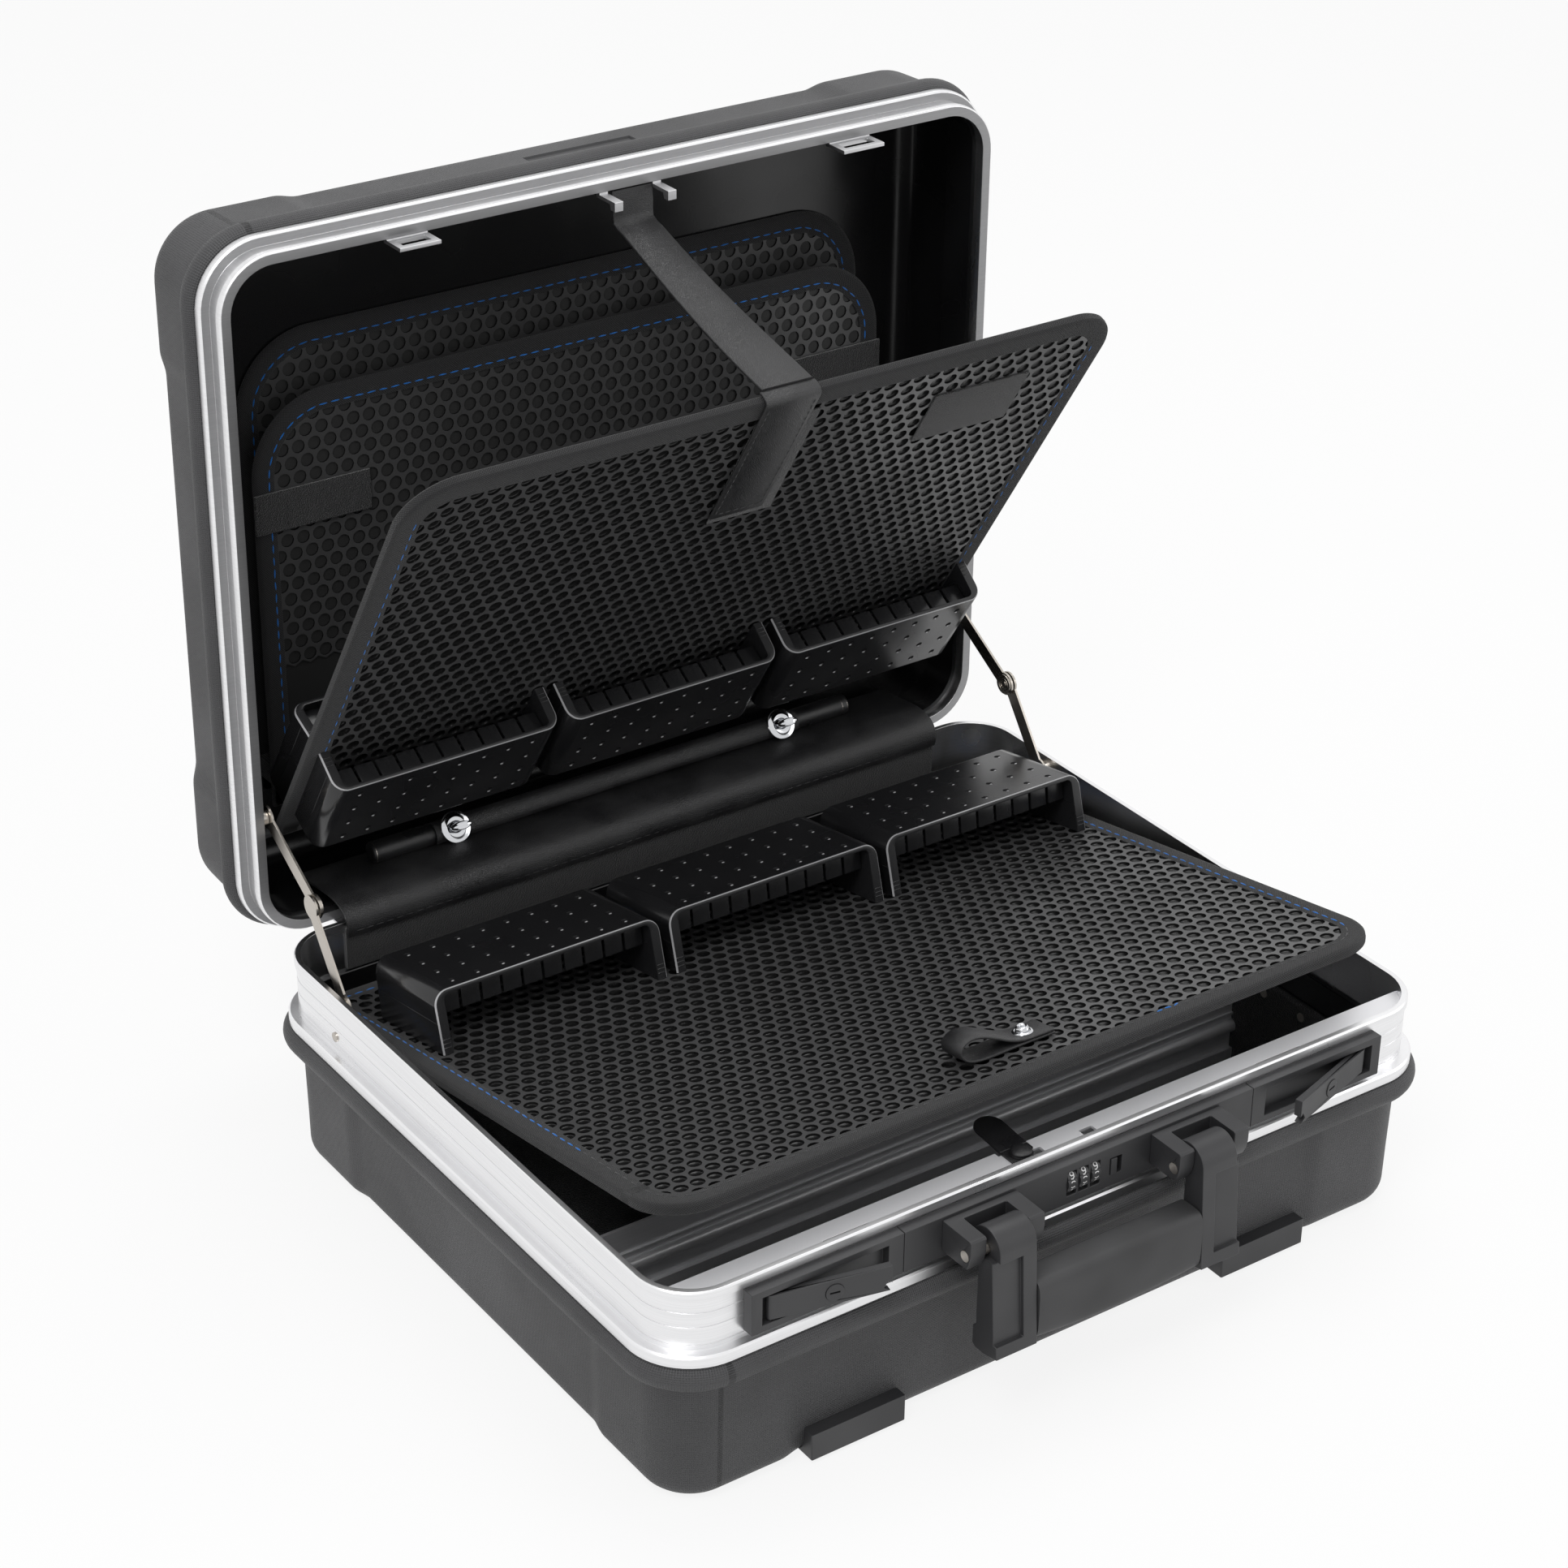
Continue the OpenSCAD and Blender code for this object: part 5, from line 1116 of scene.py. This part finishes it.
for x in (STRAP_X + 2.6, STRAP_X + STRAP_W - 2.6):
    for i in range(19):
        y = 208.0 + i * 4.6
        z = 5.36 if y > 236 else 4.7 + (y - 204) * 0.02
        z1 = 5.36 if y > 236 else 4.7 + (y - 200) * 0.02
        capsule(dashes, (x, y, z), (x, y + 3.4, z1), 0.27)
dash_row(dashes, (STRAP_X + 4, 208.0, 4.85), (STRAP_X + STRAP_W - 5, 208.0, 4.85), 4.6, 3.2, 0.27)
dashes.piece("board_strap_thread", THREAD_BLACK, "upper_board", UPPER)

# Hook and loop pads on the upper board with rough raised edges
pads = Bag()
round_box(pads, (-14, 199, 2.9), (25, 282, 3.75), 0.35, None, 2)
round_box(pads, (104, 225, 2.9), (165, 263, 3.75), 0.35, None, 2)
pads.piece("board_pads", VELCRO, "upper_board", UPPER, replaces=("board_patches",))

# Pull loop with its press stud
LOOP_Y, LOOP_W = -265.6, 16.0
loop_pts = [(24.0, 1.0), (16, 1.05), (8, 1.2), (-4, 1.15), (-14, 1.0), (-22, 1.3), (-29, 3.2), (-32.6, 7.2),
            (-31.2, 11.6), (-26, 13.6), (-19, 12.6), (-11, 9.2), (-3, 5.4), (5, 3.1), (14, 2.75), (23.4, 2.7)]
loop = Bag()
strip(loop, smooth_line([(x, LOOP_Y, z + 3.0) for x, z in loop_pts], 5), LOOP_W, 1.4, Vector((0, 1, 0)), 0.35)
loop.piece("pull_loop_leather", LEATHER, "lower_board", LOWER, angle=50, replaces=("pull_loop",))
stud = Bag()
at = LOWER @ moved(10.0, LOOP_Y, 6.35)
lathe(stud, [(5.3, 0.0), (5.4, 0.5), (4.9, 1.1), (4.0, 1.2), (3.6, 1.0), (3.5, 2.6), (2.9, 3.2), (2.0, 3.3),
             (1.6, 2.9), (1.5, 1.4), (0.3, 1.3)], at, 36)
torus(stud, 2.5, 0.55, 3.0, at)
stud.piece("pull_loop_stud", CHROME, "lower_board", angle=45)

# Dome on the snap tab
TAB_X, TAB_Y = -24.0, -174.6
dome = Bag()
DOME_R, DOME_H = 5.5, 1.5
prof = [(DOME_R * 0.985, 0.0), (DOME_R, DOME_H * 0.15)]
prof += [(DOME_R * cos(rad(a)), DOME_H * 0.15 + DOME_H * 0.85 * sin(rad(a))) for a in (20, 40, 60, 75, 86)]
lathe(dome, prof, moved(TAB_X, TAB_Y, 120.7), 28)
torus(dome, 5.7, 0.35, 119.75, moved(TAB_X, TAB_Y, 0), 36, 6)
dome.piece("snap_tab_dome", SMOOTH_LEATHER, "base", angle=60)

# Crowned, gently arched grip
GX = 50.3
verts, uvs = [], []
n_x, n_a = 36, 40
for i in range(n_x + 1):
    u = -1 + 2 * i / n_x
    x = GX * u
    arch = (1 - u * u)
    lo, hi = 51.2 - 2.5 * arch, 83.9
    y0, y1 = -225.6 - 0.2 * arch, -206.3
    cyy, czz = (y0 + y1) / 2, (lo + hi) / 2
    e = 0.42
    for k, (c, s) in enumerate(circle(n_a)):
        verts.append((x, cyy + (y1 - y0) / 2 * copysign(abs(c) ** e, c),
                      czz + (hi - lo) / 2 * copysign(abs(s) ** e, s)))
        uvs.append((x, k * 3.0))
piece("handle_grip_rubber", verts, tube_faces(n_x + 1, n_a), GRIP, "handle", ROOT, uvs, 50, ("handle_grip",))

# Digits painted on the dials: plain strokes wrapped round each dial
DIAL_R, DIAL_Y, DIAL_Z, DIAL_PITCH = 7.6, -187.2, 106.2, 7.25
STROKES = {
    0: [(-1, -1.4), (-1, 1.4), (-0.6, 1.8), (0.6, 1.8), (1, 1.4), (1, -1.4), (0.6, -1.8), (-0.6, -1.8),
        (-1, -1.4)],
    1: [(-0.5, 1.2), (0.2, 1.8), (0.2, -1.8)],
    2: [(-1, 1.2), (-0.5, 1.8), (0.6, 1.8), (1, 1.3), (1, 0.5), (-1, -1.8), (1, -1.8)],
    3: [(-1, 1.8), (1, 1.8), (0, 0.3), (0.8, 0.1), (1, -0.5), (1, -1.3), (0.5, -1.8), (-0.6, -1.8),
        (-1, -1.3)],
    4: [(0.5, -1.8), (0.5, 1.8), (-1, -0.7), (1, -0.7)],
    5: [(1, 1.8), (-0.9, 1.8), (-0.9, 0.3), (0.5, 0.3), (1, -0.2), (1, -1.3), (0.5, -1.8), (-0.9, -1.8)],
    6: [(0.9, 1.6), (0.2, 1.8), (-0.7, 1.2), (-1, 0), (-1, -1.3), (-0.5, -1.8), (0.5, -1.8), (1, -1.2),
        (1, -0.4), (0.5, 0.2), (-0.9, 0.1)],
    7: [(-1, 1.8), (1, 1.8), (-0.2, -1.8)],
    8: [(0, 0.2), (-0.8, 0.6), (-0.8, 1.4), (-0.3, 1.8), (0.3, 1.8), (0.8, 1.4), (0.8, 0.6), (0, 0.2),
        (1, -0.4), (1, -1.3), (0.5, -1.8), (-0.5, -1.8), (-1, -1.3), (-1, -0.4), (0, 0.2)],
    9: [(-0.9, -1.6), (0, -1.8), (0.8, -1.0), (1, 0.2), (1, 1.3), (0.5, 1.8), (-0.5, 1.8), (-1, 1.3),
        (-1, 0.4), (-0.5, -0.1), (0.9, 0.0)],
}


def on_dial(x, h, up, turn):
    """A point on the dial's face, from its middle: x across, h round it."""
    a = h / DIAL_R + turn
    r = DIAL_R + up
    return (x, -r * cos(a), r * sin(a))


STROKE_W, STROKE_END, DIGIT_SCALE, PAINT = 0.24, 0.2, 0.95, 0.07


def stroke(bag, p, q, turn):
    """One straight painted stroke of a digit."""
    dx, dy = q[0] - p[0], q[1] - p[1]
    run = hypot(dx, dy)
    ex, ey = dx / run * STROKE_END, dy / run * STROKE_END
    ox, oy = -dy / run * STROKE_W, dx / run * STROKE_W
    corners = [(p[0] - ex + ox, p[1] - ey + oy), (p[0] - ex - ox, p[1] - ey - oy),
               (q[0] + ex - ox, q[1] + ey - oy), (q[0] + ex + ox, q[1] + ey + oy)]
    verts = [on_dial(x * DIGIT_SCALE, h * DIGIT_SCALE, up, turn) for up in (0.0, PAINT) for x, h in corners]
    bag.add(verts, [(4, 5, 6, 7), (0, 1, 5, 4), (1, 2, 6, 5), (2, 3, 7, 6), (3, 0, 4, 7)])


for d in (1, 2, 3):
    bag = Bag()
    for digit, line in STROKES.items():
        for p, q in zip(line, line[1:]):
            stroke(bag, p, q, -rad(36) * digit)
    bag.piece("dial_digits_%d" % d, DIGIT, "dial_%d" % d,
              moved((d - 2) * DIAL_PITCH, DIAL_Y, DIAL_Z))

# Sewn ends and hems of the pocket straps
hems = Bag()
for s in (-1, 1):
    for x in (178.5, 194.5):
        dash_row(hems, (s * x, 208.0, 3.25), (s * x, 225.0, 3.25), 4.4, 3.0, 0.35)
hems.piece("pocket_strap_thread", THREAD_BLACK, "lid", PF)

# Rings round the rivets of the stays
disc = Bag()
for s in (-1, 1):
    at = moved(s * 221.8, 155.98, 158.63) @ turned(-90 * s, "Y")
    torus(disc, 3.9, 0.3, 0.0, at, 32, 6)
    torus(disc, 2.2, 0.3, 0.05, at, 32, 6)
disc.piece("stay_elbow_rings", NICKEL, "stay_upper", angle=60)


# Any node without its own finish yet
for name, o in nodes.items():
    if not o.get("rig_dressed") and not o.modifiers and not o.hide_render:
        dress(name, BLACK, 0.3)
